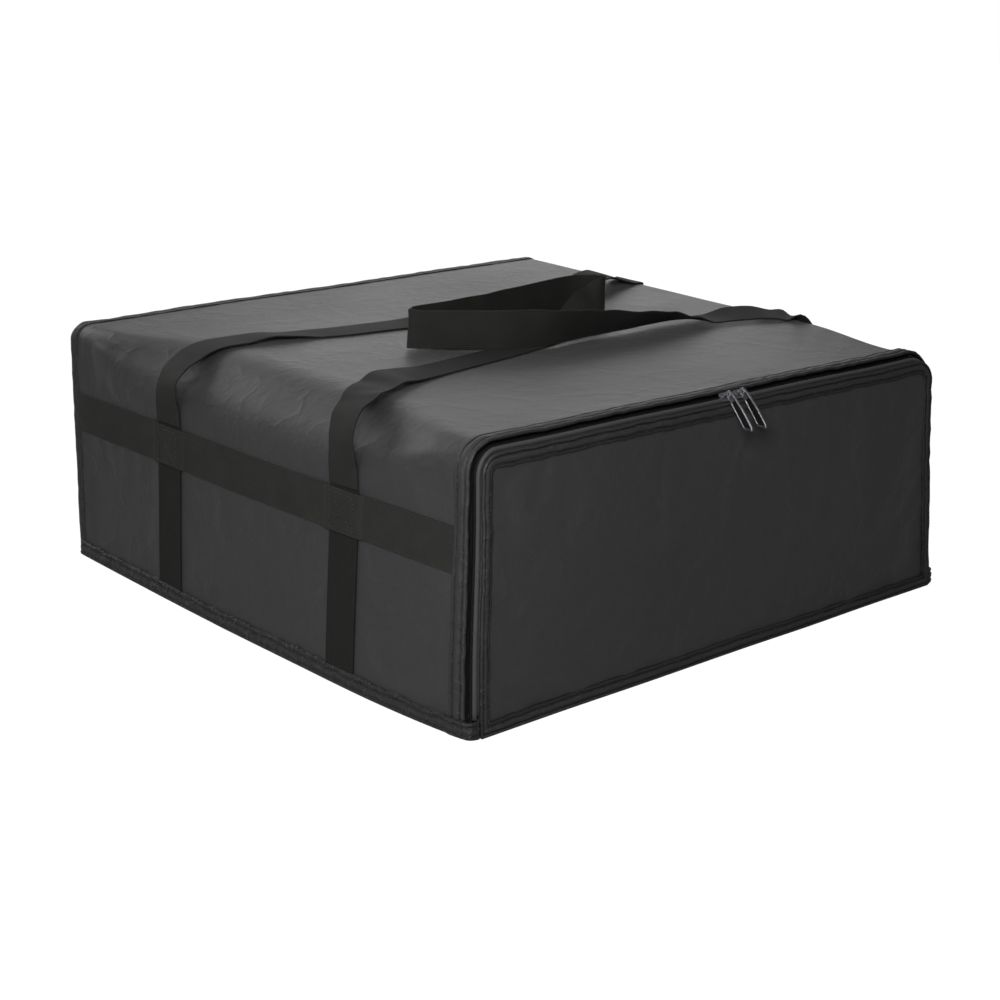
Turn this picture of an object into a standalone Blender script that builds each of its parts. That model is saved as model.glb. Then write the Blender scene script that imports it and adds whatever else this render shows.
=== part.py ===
"""Insulated pizza delivery bag with a front panel that zips open and folds down.

The bag is a padded box. One bent sandwich of cover, foam and foil lining makes its left side, top and
right side, and flat sandwiches make its back, base and front. The front panel turns on its lower edge.
A zip with two sliders runs up one side, over the top and down the other side. Two webbing handles
cross the top and run down both sides, where a webbing band holds them.

Units are metres. +X is to the right along the front, +Y is to the back and +Z is up. The origin is
under the middle of the base, on the plane that the bag stands on.
"""

import math

import bpy
from mathutils import Euler, Vector

# Whole bag, measured over its cover
WIDTH = 0.508
DEPTH = 0.508
HEIGHT = 0.2032

# Rounding of the two long top edges, at the front, along the middle and at the back
FRONT_EDGE_RADIUS = 0.022
MIDDLE_EDGE_RADIUS = 0.045
BACK_EDGE_RADIUS = 0.014
FRONT_EDGE_RUN = 0.030
FRONT_EDGE_EASE = 0.100
BACK_EDGE_RUN = 0.030
BACK_EDGE_EASE = 0.110

# Layers of each wall
COVER_WALL = 0.0012
FOAM_WALL = 0.006
LINING_WALL = 0.0006
SEAM_GAP = 0.0003

# Sewn strips along the edges
HEM_WIDTH = 0.013
HEM_WALL = 0.001
BORDER_WIDTH = 0.012
BORDER_WALL = 0.001
BINDING_WIDTH = 0.012
BINDING_WALL = 0.001
HINGE_TAPE_WIDTH = 0.012
HINGE_TAPE_WALL = 0.0006

# Zip, which lies across the bevelled front edge
ZIP_SET = 0.008
ZIP_SLIT_SET = 0.0027
ZIP_SLIT = 0.0014
ZIP_TAPE_WALL = 0.0006
ZIP_TAPE_TUCK = 0.010
COIL_WIDTH = 0.0016
COIL_WALL = 0.0012
COIL_FOOT = 0.0170
STOP_LENGTH = 0.0030
STOP_WIDTH = 0.0040
STOP_WALL = 0.0012

# Zip sliders, side by side where the zip is closed
SLIDER_MEETING = 0.0095
SLIDER_SPACING = 0.015
SLIDER_LENGTH = 0.011
SLIDER_WIDTH = 0.0076
SLIDER_WALL = 0.0012
SLIDER_LIFT = 0.0007
SLIDER_STEM = 0.0007
SLIDER_STEM_LENGTH = 0.006
CROWN_RISE = 0.0029
CROWN_WALL = 0.0012
CROWN_LENGTH = 0.0084

# Zip pulls, flat tabs threaded on the sliders' crowns
PULL_LENGTH = 0.036
PULL_HEAD_SIDE = 0.0019
PULL_INNER_SIDE = 0.0022
PULL_OUTER_SIDE = 0.0040
PULL_TIP_SIDE = 0.0054
PULL_WALL = 0.0018
PULL_HEAD_RAIL = 0.0009
PULL_RAIL = 0.0014
PULL_PLAY = 0.0004
PULL_SLOT_LENGTH = 0.0042
PULL_TIP_SLANT = 0.0050
PULL_DROOP = math.radians(50)

# Webbing of the handles, side straps and side bands
WEBBING_WIDTH = 0.032
WEBBING_WALL = 0.0014
STRAP_FOOT = 0.002
STRAP_HEAD = 0.002
BAND_HEIGHT = 0.130
BAND_RAMP = 0.006
FRONT_STRAP_SHARE = -0.476
REAR_STRAP_SHARE = 0.410

# Ground clearances of the pieces that stand beside the base
FLAP_FOOT = 0.0005
ZIP_FOOT = 0.002

ARC_STEPS = 8
ROUTE_STEPS = 4
WRAP_ROWS = 20

# Routes of the two handles from the left side to the right side. Each row gives the place across the
# bag as a share of half its width, the place along it as a share of half its depth, the height above
# the level where webbing lies flat as a share of the webbing's width, and the lean from flat, 0, to
# standing on its edge, 1. The webbing's centre rises with its lean, on top of the given height.
FRONT_HANDLE_SHARES = (
    (-1.035, -0.472, -1.290, 0.00),
    (-1.047, -0.465, -0.756, 0.00),
    (-1.020, -0.433, -0.256, 0.00),
    (-0.957, -0.386, 0.056, 0.00),
    (-0.858, -0.331, 0.180, 0.00),
    (-0.740, -0.280, 0.150, 0.00),
    (-0.618, -0.244, 0.070, 0.00),
    (-0.472, -0.224, 0.020, 0.00),
    (-0.315, -0.205, 0.000, 0.00),
    (-0.157, -0.181, 0.000, 0.00),
    (0.000, -0.142, 0.000, 0.00),
    (0.130, -0.090, 0.000, 0.00),
    (0.280, -0.020, 0.000, 0.40),
    (0.410, 0.020, 0.000, 0.85),
    (0.478, 0.040, 0.000, 1.00),
    (0.500, 0.068, 0.000, 1.00),
    (0.480, 0.096, 0.000, 1.00),
    (0.400, 0.118, 0.000, 1.00),
    (0.270, 0.132, 0.000, 1.00),
    (0.140, 0.118, 0.000, 1.00),
    (0.030, 0.062, 0.000, 1.00),
    (-0.060, 0.000, 0.000, 1.00),
    (-0.150, -0.036, 0.000, 1.00),
    (-0.240, 0.000, 0.000, 1.00),
    (-0.315, 0.044, 0.000, 1.00),
    (-0.352, 0.052, 0.000, 1.00),
    (-0.362, 0.032, 0.000, 1.00),
    (-0.330, 0.012, 0.000, 1.00),
    (-0.245, -0.040, 0.000, 1.00),
    (-0.142, -0.150, 0.000, 1.00),
    (-0.032, -0.244, 0.000, 1.00),
    (0.098, -0.276, 0.000, 0.95),
    (0.240, -0.262, 0.060, 0.75),
    (0.390, -0.248, 0.100, 0.50),
    (0.540, -0.250, 0.080, 0.25),
    (0.680, -0.268, 0.050, 0.05),
    (0.800, -0.298, 0.120, 0.00),
    (0.900, -0.335, 0.200, 0.00),
    (0.980, -0.375, 0.060, 0.00),
    (1.030, -0.420, -0.256, 0.00),
    (1.047, -0.455, -0.756, 0.00),
    (1.035, -0.470, -1.290, 0.00),
)
FRONT_GRIP_ROWS = (12, 35)
REAR_HANDLE_SHARES = (
    (-1.035, 0.410, -1.290, 0.00),
    (-1.047, 0.412, -0.756, 0.00),
    (-1.020, 0.417, -0.256, 0.00),
    (-0.957, 0.425, 0.056, 0.00),
    (-0.858, 0.436, 0.180, 0.00),
    (-0.740, 0.440, 0.170, 0.00),
    (-0.630, 0.434, 0.160, -0.08),
    (-0.540, 0.420, 0.150, -0.12),
    (-0.380, 0.376, 0.020, 0.06),
    (-0.190, 0.322, 0.000, 0.32),
    (0.000, 0.276, 0.000, 0.66),
    (0.157, 0.256, 0.000, 0.85),
    (0.354, 0.248, 0.000, 0.92),
    (0.540, 0.262, 0.000, 0.88),
    (0.700, 0.310, 0.040, 0.60),
    (0.820, 0.362, 0.180, 0.28),
    (0.915, 0.396, 0.200, 0.05),
    (0.985, 0.408, 0.030, 0.00),
    (1.030, 0.412, -0.256, 0.00),
    (1.047, 0.412, -0.756, 0.00),
    (1.035, 0.410, -1.290, 0.00),
)
REAR_GRIP_ROWS = (10, 15)


def clear_scene():
    """Remove everything that the file holds before the bag is made."""
    for item in list(bpy.data.objects):
        bpy.data.objects.remove(item, do_unlink=True)
    for group in list(bpy.data.collections):
        bpy.data.collections.remove(group)


def new_collection(name):
    """Add a collection to the scene."""
    group = bpy.data.collections.new(name)
    bpy.context.scene.collection.children.link(group)
    return group


def new_material(name, colour, roughness, metallic=0.0):
    """Make a plain finish for one sub-part."""
    material = bpy.data.materials.new(name)
    material.use_nodes = True
    shader = material.node_tree.nodes["Principled BSDF"]
    shader.inputs["Base Color"].default_value = (*colour, 1.0)
    shader.inputs["Roughness"].default_value = roughness
    shader.inputs["Metallic"].default_value = metallic
    return material


def cloth_finish(name):
    """Dark grey coated cloth."""
    return new_material(name + "_cloth", (0.030, 0.030, 0.031), 0.55)


def webbing_finish(name):
    """Black woven webbing."""
    return new_material(name + "_webbing", (0.010, 0.010, 0.010), 0.80)


def foam_finish(name):
    """White closed-cell foam."""
    return new_material(name + "_foam", (0.80, 0.80, 0.78), 0.90)


def foil_finish(name):
    """Silver foil lining."""
    return new_material(name + "_foil", (0.72, 0.73, 0.75), 0.30, 0.90)


def metal_finish(name):
    """Dark plated metal."""
    return new_material(name + "_metal", (0.08, 0.08, 0.085), 0.30, 0.90)


def finish_object(item, group, material, parent=None):
    """Put an object in its collection with its material, under its parent."""
    item.data.materials.append(material)
    group.objects.link(item)
    if parent is not None:
        item.parent = parent
        item.matrix_parent_inverse = parent.matrix_world.inverted()
    return item


def new_empty(name, group, place, parent=None):
    """Mark a joint's axis with an empty at its place."""
    item = bpy.data.objects.new(name, None)
    item.location = place
    group.objects.link(item)
    if parent is not None:
        item.parent = parent
        item.matrix_parent_inverse = parent.matrix_world.inverted()
    bpy.context.view_layer.update()
    return item


def behind_front(distance):
    """Y of a point that lies the given distance behind the front of the bag."""
    return -DEPTH / 2 + distance


def smooth_share(value):
    """Ease a share from 0 to 1 at both ends."""
    value = min(max(value, 0.0), 1.0)
    return value * value * (3.0 - 2.0 * value)


def edge_radius(distance):
    """Rounding of the top edges at a distance behind the front."""
    front = smooth_share((distance - FRONT_EDGE_RUN) / FRONT_EDGE_EASE)
    back = smooth_share((DEPTH - BACK_EDGE_RUN - distance) / BACK_EDGE_EASE)
    radius = FRONT_EDGE_RADIUS + (MIDDLE_EDGE_RADIUS - FRONT_EDGE_RADIUS) * front
    return BACK_EDGE_RADIUS + (radius - BACK_EDGE_RADIUS) * back


def arch(inset, radius, foot):
    """Points of the left side, top and right side in (x, z), moved inwards by an inset."""
    half = WIDTH / 2 - inset
    top = HEIGHT - inset
    bend = max(radius - inset, SEAM_GAP)
    points = [(-half, foot)]
    for step in range(ARC_STEPS + 1):
        turn = math.pi / 2 * step / ARC_STEPS
        points.append((-half + bend - bend * math.cos(turn), top - bend + bend * math.sin(turn)))
    for step in range(ARC_STEPS + 1):
        turn = math.pi / 2 * (1 - step / ARC_STEPS)
        points.append((half - bend + bend * math.cos(turn), top - bend + bend * math.sin(turn)))
    points.append((half, foot))
    return points


def sheet(name, group, rows, wall, material, parent=None, side=0.0):
    """Loft an open surface through rows of points and give it its thickness.

    The side says where the wall goes: 0 is half on each side, -1 is behind the faces.
    """
    count = len(rows[0])
    vertices = [point for row in rows for point in row]
    faces = []
    for line in range(len(rows) - 1):
        for step in range(count - 1):
            first = line * count + step
            faces.append((first, first + 1, first + count + 1, first + count))
    mesh = bpy.data.meshes.new(name)
    mesh.from_pydata(vertices, [], faces)
    item = finish_object(bpy.data.objects.new(name, mesh), group, material, parent)
    solid = item.modifiers.new("Wall", "SOLIDIFY")
    solid.thickness = wall
    solid.offset = side
    solid.use_even_offset = True
    return item


def plate(name, group, outlines, wall, centre, turn, material, parent=None):
    """Cut a flat piece from one or more closed outlines, and turn it to its plane."""
    curve = bpy.data.curves.new(name, "CURVE")
    curve.dimensions = "2D"
    curve.fill_mode = "BOTH"
    curve.extrude = wall / 2
    for outline in outlines:
        spline = curve.splines.new("POLY")
        spline.points.add(len(outline) - 1)
        for point, (across, up) in zip(spline.points, outline):
            point.co = (across, up, 0.0, 1.0)
        spline.use_cyclic_u = True
    item = bpy.data.objects.new(name, curve)
    item.location = centre
    item.rotation_euler = turn
    return finish_object(item, group, material, parent)


def block(size, centre, name, group, material):
    """Make a box from a cube primitive with its size applied."""
    bpy.ops.mesh.primitive_cube_add(size=1.0)
    item = bpy.context.active_object
    item.name = name
    for owner in list(item.users_collection):
        owner.objects.unlink(item)
    for vertex in item.data.vertices:
        vertex.co = Vector(centre) + Vector([a * b for a, b in zip(vertex.co, size)])
    return finish_object(item, group, material)


def join_into(item, tool):
    """Unite a tool shape with an object and keep the tool out of sight."""
    union = item.modifiers.new(tool.name, "BOOLEAN")
    union.operation = "UNION"
    union.object = tool
    tool.hide_render = True
    tool.display_type = "WIRE"


def arch_row(inset, distance, foot):
    """Row of points on the front arch at an inset and a distance behind the front."""
    y = behind_front(distance)
    return [(x, y, z) for x, z in arch(inset, FRONT_EDGE_RADIUS, foot)]


def back_arch_row(inset, distance, foot):
    """Row of points on the back arch at an inset and a distance behind the front."""
    y = behind_front(distance)
    return [(x, y, z) for x, z in arch(inset, BACK_EDGE_RADIUS, foot)]


def make_wrap(group):
    """Left side, top and right side: cover, foam and lining in one bent sandwich."""
    foam_inset = COVER_WALL + SEAM_GAP
    lining_inset = foam_inset + FOAM_WALL + SEAM_GAP
    back_stack = COVER_WALL + SEAM_GAP
    foam_end = back_stack + FOAM_WALL + SEAM_GAP
    lining_end = foam_end + LINING_WALL + SEAM_GAP
    front = ZIP_SET
    inner_front = front + LINING_WALL + SEAM_GAP
    layers = (
        ("wrap_cover", 0.0, COVER_WALL, front, DEPTH - back_stack, foam_inset, cloth_finish),
        ("wrap_foam", foam_inset, FOAM_WALL, inner_front, DEPTH - foam_end, foam_inset, foam_finish),
        ("wrap_lining", lining_inset, LINING_WALL, inner_front, DEPTH - lining_end,
         lining_inset + LINING_WALL + SEAM_GAP, foil_finish),
    )
    for name, inset, wall, start, end, foot, finish in layers:
        rows = []
        for row in range(WRAP_ROWS + 1):
            distance = start + (end - start) * row / WRAP_ROWS
            y = behind_front(distance)
            rows.append([(x, y, z) for x, z in arch(inset, edge_radius(distance), foot)])
        sheet(name, group, rows, wall, finish(name), side=-1.0)


def make_back(group):
    """Flat back of the bag, with its top corners rounded like the wrap's."""
    upright = Euler((math.pi / 2, 0.0, 0.0))
    foam_inset = COVER_WALL + SEAM_GAP
    lining_inset = foam_inset + FOAM_WALL + SEAM_GAP
    layers = (
        ("back_cover", 0.0, COVER_WALL, 0.0, foam_inset, cloth_finish),
        ("back_foam", foam_inset, FOAM_WALL, foam_inset, foam_inset, foam_finish),
        ("back_lining", lining_inset, LINING_WALL, lining_inset,
         lining_inset + LINING_WALL + SEAM_GAP, foil_finish),
    )
    for name, inset, wall, depth_in, foot, finish in layers:
        outline = arch(inset, BACK_EDGE_RADIUS, foot)
        centre = (0.0, behind_front(DEPTH - depth_in - wall / 2), 0.0)
        plate(name, group, [outline], wall, centre, upright, finish(name))


def make_base(group):
    """Flat base that the bag stands on."""
    foam_inset = COVER_WALL + SEAM_GAP
    lining_inset = foam_inset + FOAM_WALL + SEAM_GAP
    front = ZIP_SET + LINING_WALL + SEAM_GAP
    layers = (
        ("base_cover", 0.0, 0.0, COVER_WALL, 0.0, cloth_finish),
        ("base_foam", lining_inset, lining_inset, FOAM_WALL, foam_inset, foam_finish),
        ("base_lining", lining_inset, lining_inset, LINING_WALL, lining_inset, foil_finish),
    )
    for name, inset, back_inset, wall, low, finish in layers:
        half = WIDTH / 2 - inset
        near = behind_front(front)
        far = behind_front(DEPTH - back_inset)
        outline = [(-half, near), (half, near), (half, far), (-half, far)]
        plate(name, group, [outline], wall, (0.0, 0.0, low + wall / 2), Euler(), finish(name))


def make_edge_strips(group):
    """Hem along the front rim, binding round the back and binding along the foot."""
    tape_out = SEAM_GAP + ZIP_TAPE_WALL + SEAM_GAP
    hem_middle = -(tape_out + HEM_WALL / 2)
    rows = [arch_row(hem_middle, ZIP_SET, ZIP_FOOT), arch_row(hem_middle, ZIP_SET + HEM_WIDTH, ZIP_FOOT)]
    sheet("rim_hem", group, rows, HEM_WALL, cloth_finish("rim_hem"))
    middle = SEAM_GAP + BINDING_WALL / 2
    foot = COVER_WALL + SEAM_GAP + BINDING_WIDTH + SEAM_GAP
    rows = [back_arch_row(-middle, DEPTH - BINDING_WIDTH, foot),
            back_arch_row(-middle, DEPTH + middle, foot),
            back_arch_row(BINDING_WIDTH, DEPTH + middle, foot)]
    sheet("back_binding", group, rows, BINDING_WALL, cloth_finish("back_binding"))
    low = COVER_WALL + SEAM_GAP
    half = WIDTH / 2 + middle
    far = behind_front(DEPTH + middle)
    near = behind_front(ZIP_SET + HEM_WIDTH + SEAM_GAP)
    plan = [(-half, near), (-half, far), (half, far), (half, near)]
    rows = [[(x, y, low) for x, y in plan], [(x, y, low + BINDING_WIDTH) for x, y in plan]]
    sheet("base_binding", group, rows, BINDING_WALL, cloth_finish("base_binding"))


def slit_edges():
    """Inset and distance of the two edges of the zip's slit, body side first."""
    shift = ZIP_SLIT / 2 / math.sqrt(2)
    body = (ZIP_SLIT_SET - shift, ZIP_SLIT_SET + shift)
    flap = (ZIP_SLIT_SET + shift, ZIP_SLIT_SET - shift)
    return body, flap


def make_zip_half(names, group, parent, edge, flat_point, tucked_point):
    """One half of the zip: a tape from its tuck to the slit, and the coil under its edge.

    Points are (inset, distance) pairs in the plane across the zip.
    """
    tape_name, coil_name = names
    rows = [arch_row(*tucked_point, ZIP_FOOT), arch_row(*flat_point, ZIP_FOOT), arch_row(*edge, ZIP_FOOT)]
    sheet(tape_name, group, rows, ZIP_TAPE_WALL, cloth_finish(tape_name), parent)
    along = (Vector(flat_point) - Vector(edge)).normalized()
    inward = Vector((-along.y, along.x))
    if inward.x + inward.y < 0:
        inward = -inward
    depth = ZIP_TAPE_WALL / 2 + SEAM_GAP + COIL_WALL / 2
    near = Vector(edge) + inward * depth
    far = near + along * COIL_WIDTH
    rows = [arch_row(near.x, near.y, COIL_FOOT), arch_row(far.x, far.y, COIL_FOOT)]
    sheet(coil_name, group, rows, COIL_WALL, cloth_finish(coil_name), parent)


def make_zip(group, flap):
    """Both halves of the zip and the two stops at its ends."""
    body_edge, flap_edge = slit_edges()
    level = -(SEAM_GAP + ZIP_TAPE_WALL / 2)
    bend = ZIP_SET - ZIP_TAPE_WALL
    tuck = ZIP_SET + ZIP_TAPE_TUCK
    make_zip_half(("zip_tape_body", "zip_coil_body"), group, None, body_edge,
                  (level, bend), (level, tuck))
    make_zip_half(("zip_tape_flap", "zip_coil_flap"), group, flap, flap_edge,
                  (bend, level), (tuck, level))
    depth = ZIP_TAPE_WALL / 2 + SEAM_GAP + SEAM_GAP + STOP_WALL / 2
    inset = ZIP_SLIT_SET + depth / math.sqrt(2)
    for name, side in (("left_zip_stop", -1), ("right_zip_stop", 1)):
        stop = block((STOP_WIDTH, STOP_WALL, STOP_LENGTH), (0.0, 0.0, 0.0), name, group,
                     metal_finish(name))
        stop.location = (side * (WIDTH / 2 - inset), behind_front(inset),
                         COIL_FOOT - SEAM_GAP - STOP_LENGTH / 2)
        stop.rotation_euler = (0.0, 0.0, side * math.pi / 4)


def make_flap(group, flap):
    """Front panel that folds down: cover, foam, lining and its sewn border."""
    upright = Euler((math.pi / 2, 0.0, 0.0))
    foam_at = COVER_WALL + SEAM_GAP
    lining_at = foam_at + FOAM_WALL + SEAM_GAP
    plug_inset = foam_at + FOAM_WALL + SEAM_GAP + LINING_WALL + SEAM_GAP
    foot = FLAP_FOOT + COVER_WALL
    layers = (
        ("flap_cover", ZIP_SET, COVER_WALL, 0.0, FLAP_FOOT, cloth_finish),
        ("flap_foam", plug_inset, FOAM_WALL, foam_at, foot, foam_finish),
        ("flap_lining", plug_inset, LINING_WALL, lining_at, foot, foil_finish),
    )
    for name, inset, wall, start, low, finish in layers:
        outline = arch(inset, FRONT_EDGE_RADIUS, low)
        centre = (0.0, behind_front(start + wall / 2), 0.0)
        plate(name, group, [outline], wall, centre, upright, finish(name), flap)
    outer = arch(ZIP_SET, FRONT_EDGE_RADIUS, FLAP_FOOT)
    inner = arch(ZIP_SET + BORDER_WIDTH, FRONT_EDGE_RADIUS, FLAP_FOOT + BORDER_WIDTH)
    front = SEAM_GAP + ZIP_TAPE_WALL + SEAM_GAP + BORDER_WALL / 2
    plate("flap_border", group, [outer, inner], BORDER_WALL, (0.0, behind_front(-front), 0.0),
          upright, cloth_finish("flap_border"), flap)


def make_hinge_tape(group):
    """Sewn tape in the inner corner, where the front panel turns on the base."""
    lining_top = COVER_WALL + SEAM_GAP + FOAM_WALL + SEAM_GAP + LINING_WALL
    middle = lining_top + SEAM_GAP + HINGE_TAPE_WALL / 2
    half = WIDTH / 2 - middle - SEAM_GAP - HINGE_TAPE_WALL
    line = [(behind_front(middle), middle + HINGE_TAPE_WIDTH), (behind_front(middle), middle),
            (behind_front(middle + HINGE_TAPE_WIDTH), middle)]
    rows = [[(-half, y, z) for y, z in line], [(half, y, z) for y, z in line]]
    sheet("hinge_tape", group, rows, HINGE_TAPE_WALL, cloth_finish("hinge_tape"))


def make_side_webbing(group):
    """Straps down each side and the band that is sewn across them."""
    flat = SEAM_GAP + WEBBING_WALL / 2
    over_binding = flat + BINDING_WALL + SEAM_GAP
    over_strap = flat + WEBBING_WALL + SEAM_GAP
    binding_top = COVER_WALL + SEAM_GAP + BINDING_WIDTH
    head = BAND_HEIGHT + WEBBING_WIDTH / 2 + STRAP_HEAD
    places = (("front", FRONT_STRAP_SHARE), ("rear", REAR_STRAP_SHARE))
    half_band = WEBBING_WIDTH / 2
    for side_name, side in (("left", -1), ("right", 1)):
        steps = ((STRAP_FOOT, over_binding), (binding_top + SEAM_GAP + WEBBING_WALL, over_binding),
                 (binding_top + BAND_RAMP, flat), (head, flat))
        for place_name, share in places:
            name = f"{side_name}_{place_name}_strap"
            y = share * DEPTH / 2
            rows = [[(side * (WIDTH / 2 + out), y - half_band, z),
                     (side * (WIDTH / 2 + out), y + half_band, z)] for z, out in steps]
            sheet(name, group, rows, WEBBING_WALL, webbing_finish(name))
        stations = [(behind_front(ZIP_SET + HEM_WIDTH + SEAM_GAP + WEBBING_WALL), flat)]
        for _, share in places:
            y = share * DEPTH / 2
            reach = half_band + SEAM_GAP + WEBBING_WALL
            stations += [(y - reach - BAND_RAMP, flat), (y - reach, over_strap),
                         (y + reach, over_strap), (y + reach + BAND_RAMP, flat)]
        stations.append((behind_front(DEPTH - BINDING_WIDTH - SEAM_GAP), flat))
        name = f"{side_name}_side_band"
        rows = [[(side * (WIDTH / 2 + out), y, BAND_HEIGHT - half_band),
                 (side * (WIDTH / 2 + out), y, BAND_HEIGHT + half_band)] for y, out in stations]
        sheet(name, group, rows, WEBBING_WALL, webbing_finish(name))


def handle_route(shares, strap_share):
    """Places and leans along a handle, from the head of one side strap to the other."""
    flat_level = HEIGHT + SEAM_GAP + WEBBING_WALL / 2
    start = BAND_HEIGHT + WEBBING_WIDTH / 2 + STRAP_HEAD + SEAM_GAP + WEBBING_WALL
    reach = WIDTH / 2 + SEAM_GAP + WEBBING_WALL
    y = strap_share * DEPTH / 2
    route = [(Vector((-reach, y, start)), 0.0)]
    for across, along, rise, lean in shares:
        place = Vector((across * WIDTH / 2, along * DEPTH / 2, flat_level + rise * WEBBING_WIDTH))
        route.append((place, lean))
    route.append((Vector((reach, y, start)), 0.0))
    return route


def standing_rise(lean):
    """Lift of the webbing's middle that keeps its lower edge just above webbing that lies flat."""
    upright = WEBBING_WIDTH / 2 * abs(math.sin(lean * math.pi / 2))
    return Vector((0.0, 0.0, upright + (WEBBING_WALL / 2 + SEAM_GAP) * abs(lean)))


def smooth_route(route):
    """Pass a smooth curve through a route's points, with equal steps on each span."""
    samples = []
    last = len(route) - 1
    for span in range(last):
        before, start, end, after = (route[min(max(span + k, 0), last)] for k in (-1, 0, 1, 2))
        for step in range(ROUTE_STEPS):
            t = step / ROUTE_STEPS
            weights = ((-t + 2 * t ** 2 - t ** 3) / 2, (2 - 5 * t ** 2 + 3 * t ** 3) / 2,
                       (t + 4 * t ** 2 - 3 * t ** 3) / 2, (-t ** 2 + t ** 3) / 2)
            corners = (before, start, end, after)
            place = sum((w * c[0] for w, c in zip(weights, corners)), Vector())
            lean = start[1] + (end[1] - start[1]) * smooth_share(t)
            samples.append((place, lean))
    samples.append(route[-1])
    return samples


def webbing_rows(samples):
    """Both edges of flat webbing along sampled places, turned about its own line by its lean."""
    rows = []
    for index, (place, lean) in enumerate(samples):
        ahead = samples[min(index + 1, len(samples) - 1)][0]
        behind = samples[max(index - 1, 0)][0]
        along = (ahead - behind).normalized()
        turn = lean * math.pi / 2
        level = (Vector((0.0, 1.0, 0.0)) - along * along.y).normalized()
        upright = (Vector((0.0, 0.0, 1.0)) - along * along.z).normalized()
        across = (level * math.cos(turn) + upright * math.sin(turn)).normalized()
        middle = place + standing_rise(lean)
        rows.append([middle - across * WEBBING_WIDTH / 2, middle + across * WEBBING_WIDTH / 2])
    return rows


def make_handle(name, group, shares, strap_share, grip_rows):
    """One handle: two legs and the grip between them, which lifts straight up."""
    rows = webbing_rows(smooth_route(handle_route(shares, strap_share)))
    first, last = (row * ROUTE_STEPS for row in grip_rows)
    grip = rows[first:last + 1]
    for end, beside in ((0, 1), (-1, -2)):
        step = (grip[beside][0] + grip[beside][1] - grip[end][0] - grip[end][1]).normalized()
        grip[end] = [point + step * SEAM_GAP for point in grip[end]]
    middle = (grip[0][0] + grip[-1][1]) / 2
    lift = new_empty(f"{name}_lift", group, middle)
    parts = (("left_leg", rows[:first + 1], None), ("grip", grip, lift), ("right_leg", rows[last:], None))
    for part_name, run, parent in parts:
        full_name = f"{name}_{part_name}"
        sheet(full_name, group, run, WEBBING_WALL, webbing_finish(full_name), parent)


def make_slider(name, group, tools, x, flap):
    """Slider on the closed zip, with its crown pointing out across the bevelled edge."""
    finish = metal_finish(name)
    top = SLIDER_LIFT + SLIDER_WALL
    under = ZIP_TAPE_WALL / 2 + SEAM_GAP + COIL_WALL + SEAM_GAP + SEAM_GAP
    item = block((SLIDER_LENGTH, SLIDER_WIDTH, SLIDER_WALL),
                 (0.0, 0.0, SLIDER_LIFT + SLIDER_WALL / 2), name, group, finish)
    stem_low = -(under + SLIDER_WALL / 2)
    stem_high = SLIDER_LIFT + SLIDER_WALL / 2
    pieces = [((SLIDER_STEM_LENGTH, SLIDER_STEM, stem_high - stem_low),
               (0.0, 0.0, (stem_high + stem_low) / 2))]
    reach = SLIDER_WIDTH / 2 - SEAM_GAP
    pieces.append(((SLIDER_LENGTH, reach + SLIDER_STEM / 2, SLIDER_WALL),
                   (0.0, (SLIDER_STEM / 2 - reach) / 2, -(under + SLIDER_WALL / 2))))
    post_height = CROWN_RISE + CROWN_WALL / 2
    for end in (-1, 1):
        pieces.append(((CROWN_WALL, CROWN_WALL, post_height + SLIDER_WALL / 2),
                       (end * (CROWN_LENGTH - CROWN_WALL) / 2, 0.0,
                        top + (post_height - SLIDER_WALL / 2) / 2)))
    pieces.append(((CROWN_LENGTH, CROWN_WALL, CROWN_WALL), (0.0, 0.0, top + CROWN_RISE)))
    place = Vector((x, behind_front(ZIP_SLIT_SET), HEIGHT - ZIP_SLIT_SET))
    tilt = Euler((math.pi / 4, 0.0, 0.0))
    for number, (size, centre) in enumerate(pieces):
        tool = block(size, centre, f"{name}_shape_{number}", tools, finish)
        tool.location = place
        tool.rotation_euler = tilt
        join_into(item, tool)
    item.location = place
    item.rotation_euler = tilt
    item.parent = flap
    item.matrix_parent_inverse = flap.matrix_world.inverted()
    bpy.context.view_layer.update()
    return item


def make_pull(name, group, slider):
    """Tab threaded on the slider's crown, which hangs down over the front."""
    axis_out = SLIDER_LIFT + SLIDER_WALL + CROWN_RISE
    out = Vector((0.0, -1.0, 1.0)).normalized()
    axis_place = slider.matrix_world.translation + out * axis_out
    joint = new_empty(f"{name}_swing", group, axis_place, slider)
    hole = CROWN_WALL / 2 + PULL_PLAY
    back = hole + PULL_HEAD_RAIL
    tip = PULL_LENGTH - back
    outer_rail = PULL_OUTER_SIDE - PULL_RAIL
    outline = [(-back, -PULL_HEAD_SIDE), (tip - PULL_TIP_SLANT, -PULL_INNER_SIDE),
               (tip, PULL_OUTER_SIDE), (tip - PULL_TIP_SLANT / 2, PULL_TIP_SIDE),
               (PULL_LENGTH / 2, PULL_TIP_SIDE), (PULL_SLOT_LENGTH, PULL_OUTER_SIDE),
               (-back, PULL_HEAD_SIDE)]
    slot = [(-hole, -hole), (PULL_SLOT_LENGTH, -hole), (PULL_SLOT_LENGTH, outer_rail), (-hole, hole)]
    turn = Euler((math.pi / 2, 0.0, -math.pi / 2)).to_matrix()
    droop = Euler((PULL_DROOP, 0.0, 0.0)).to_matrix()
    turned = (droop @ turn).to_euler()
    plate(name, group, [outline, slot], PULL_WALL, axis_place, turned, metal_finish(name), joint)


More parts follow.
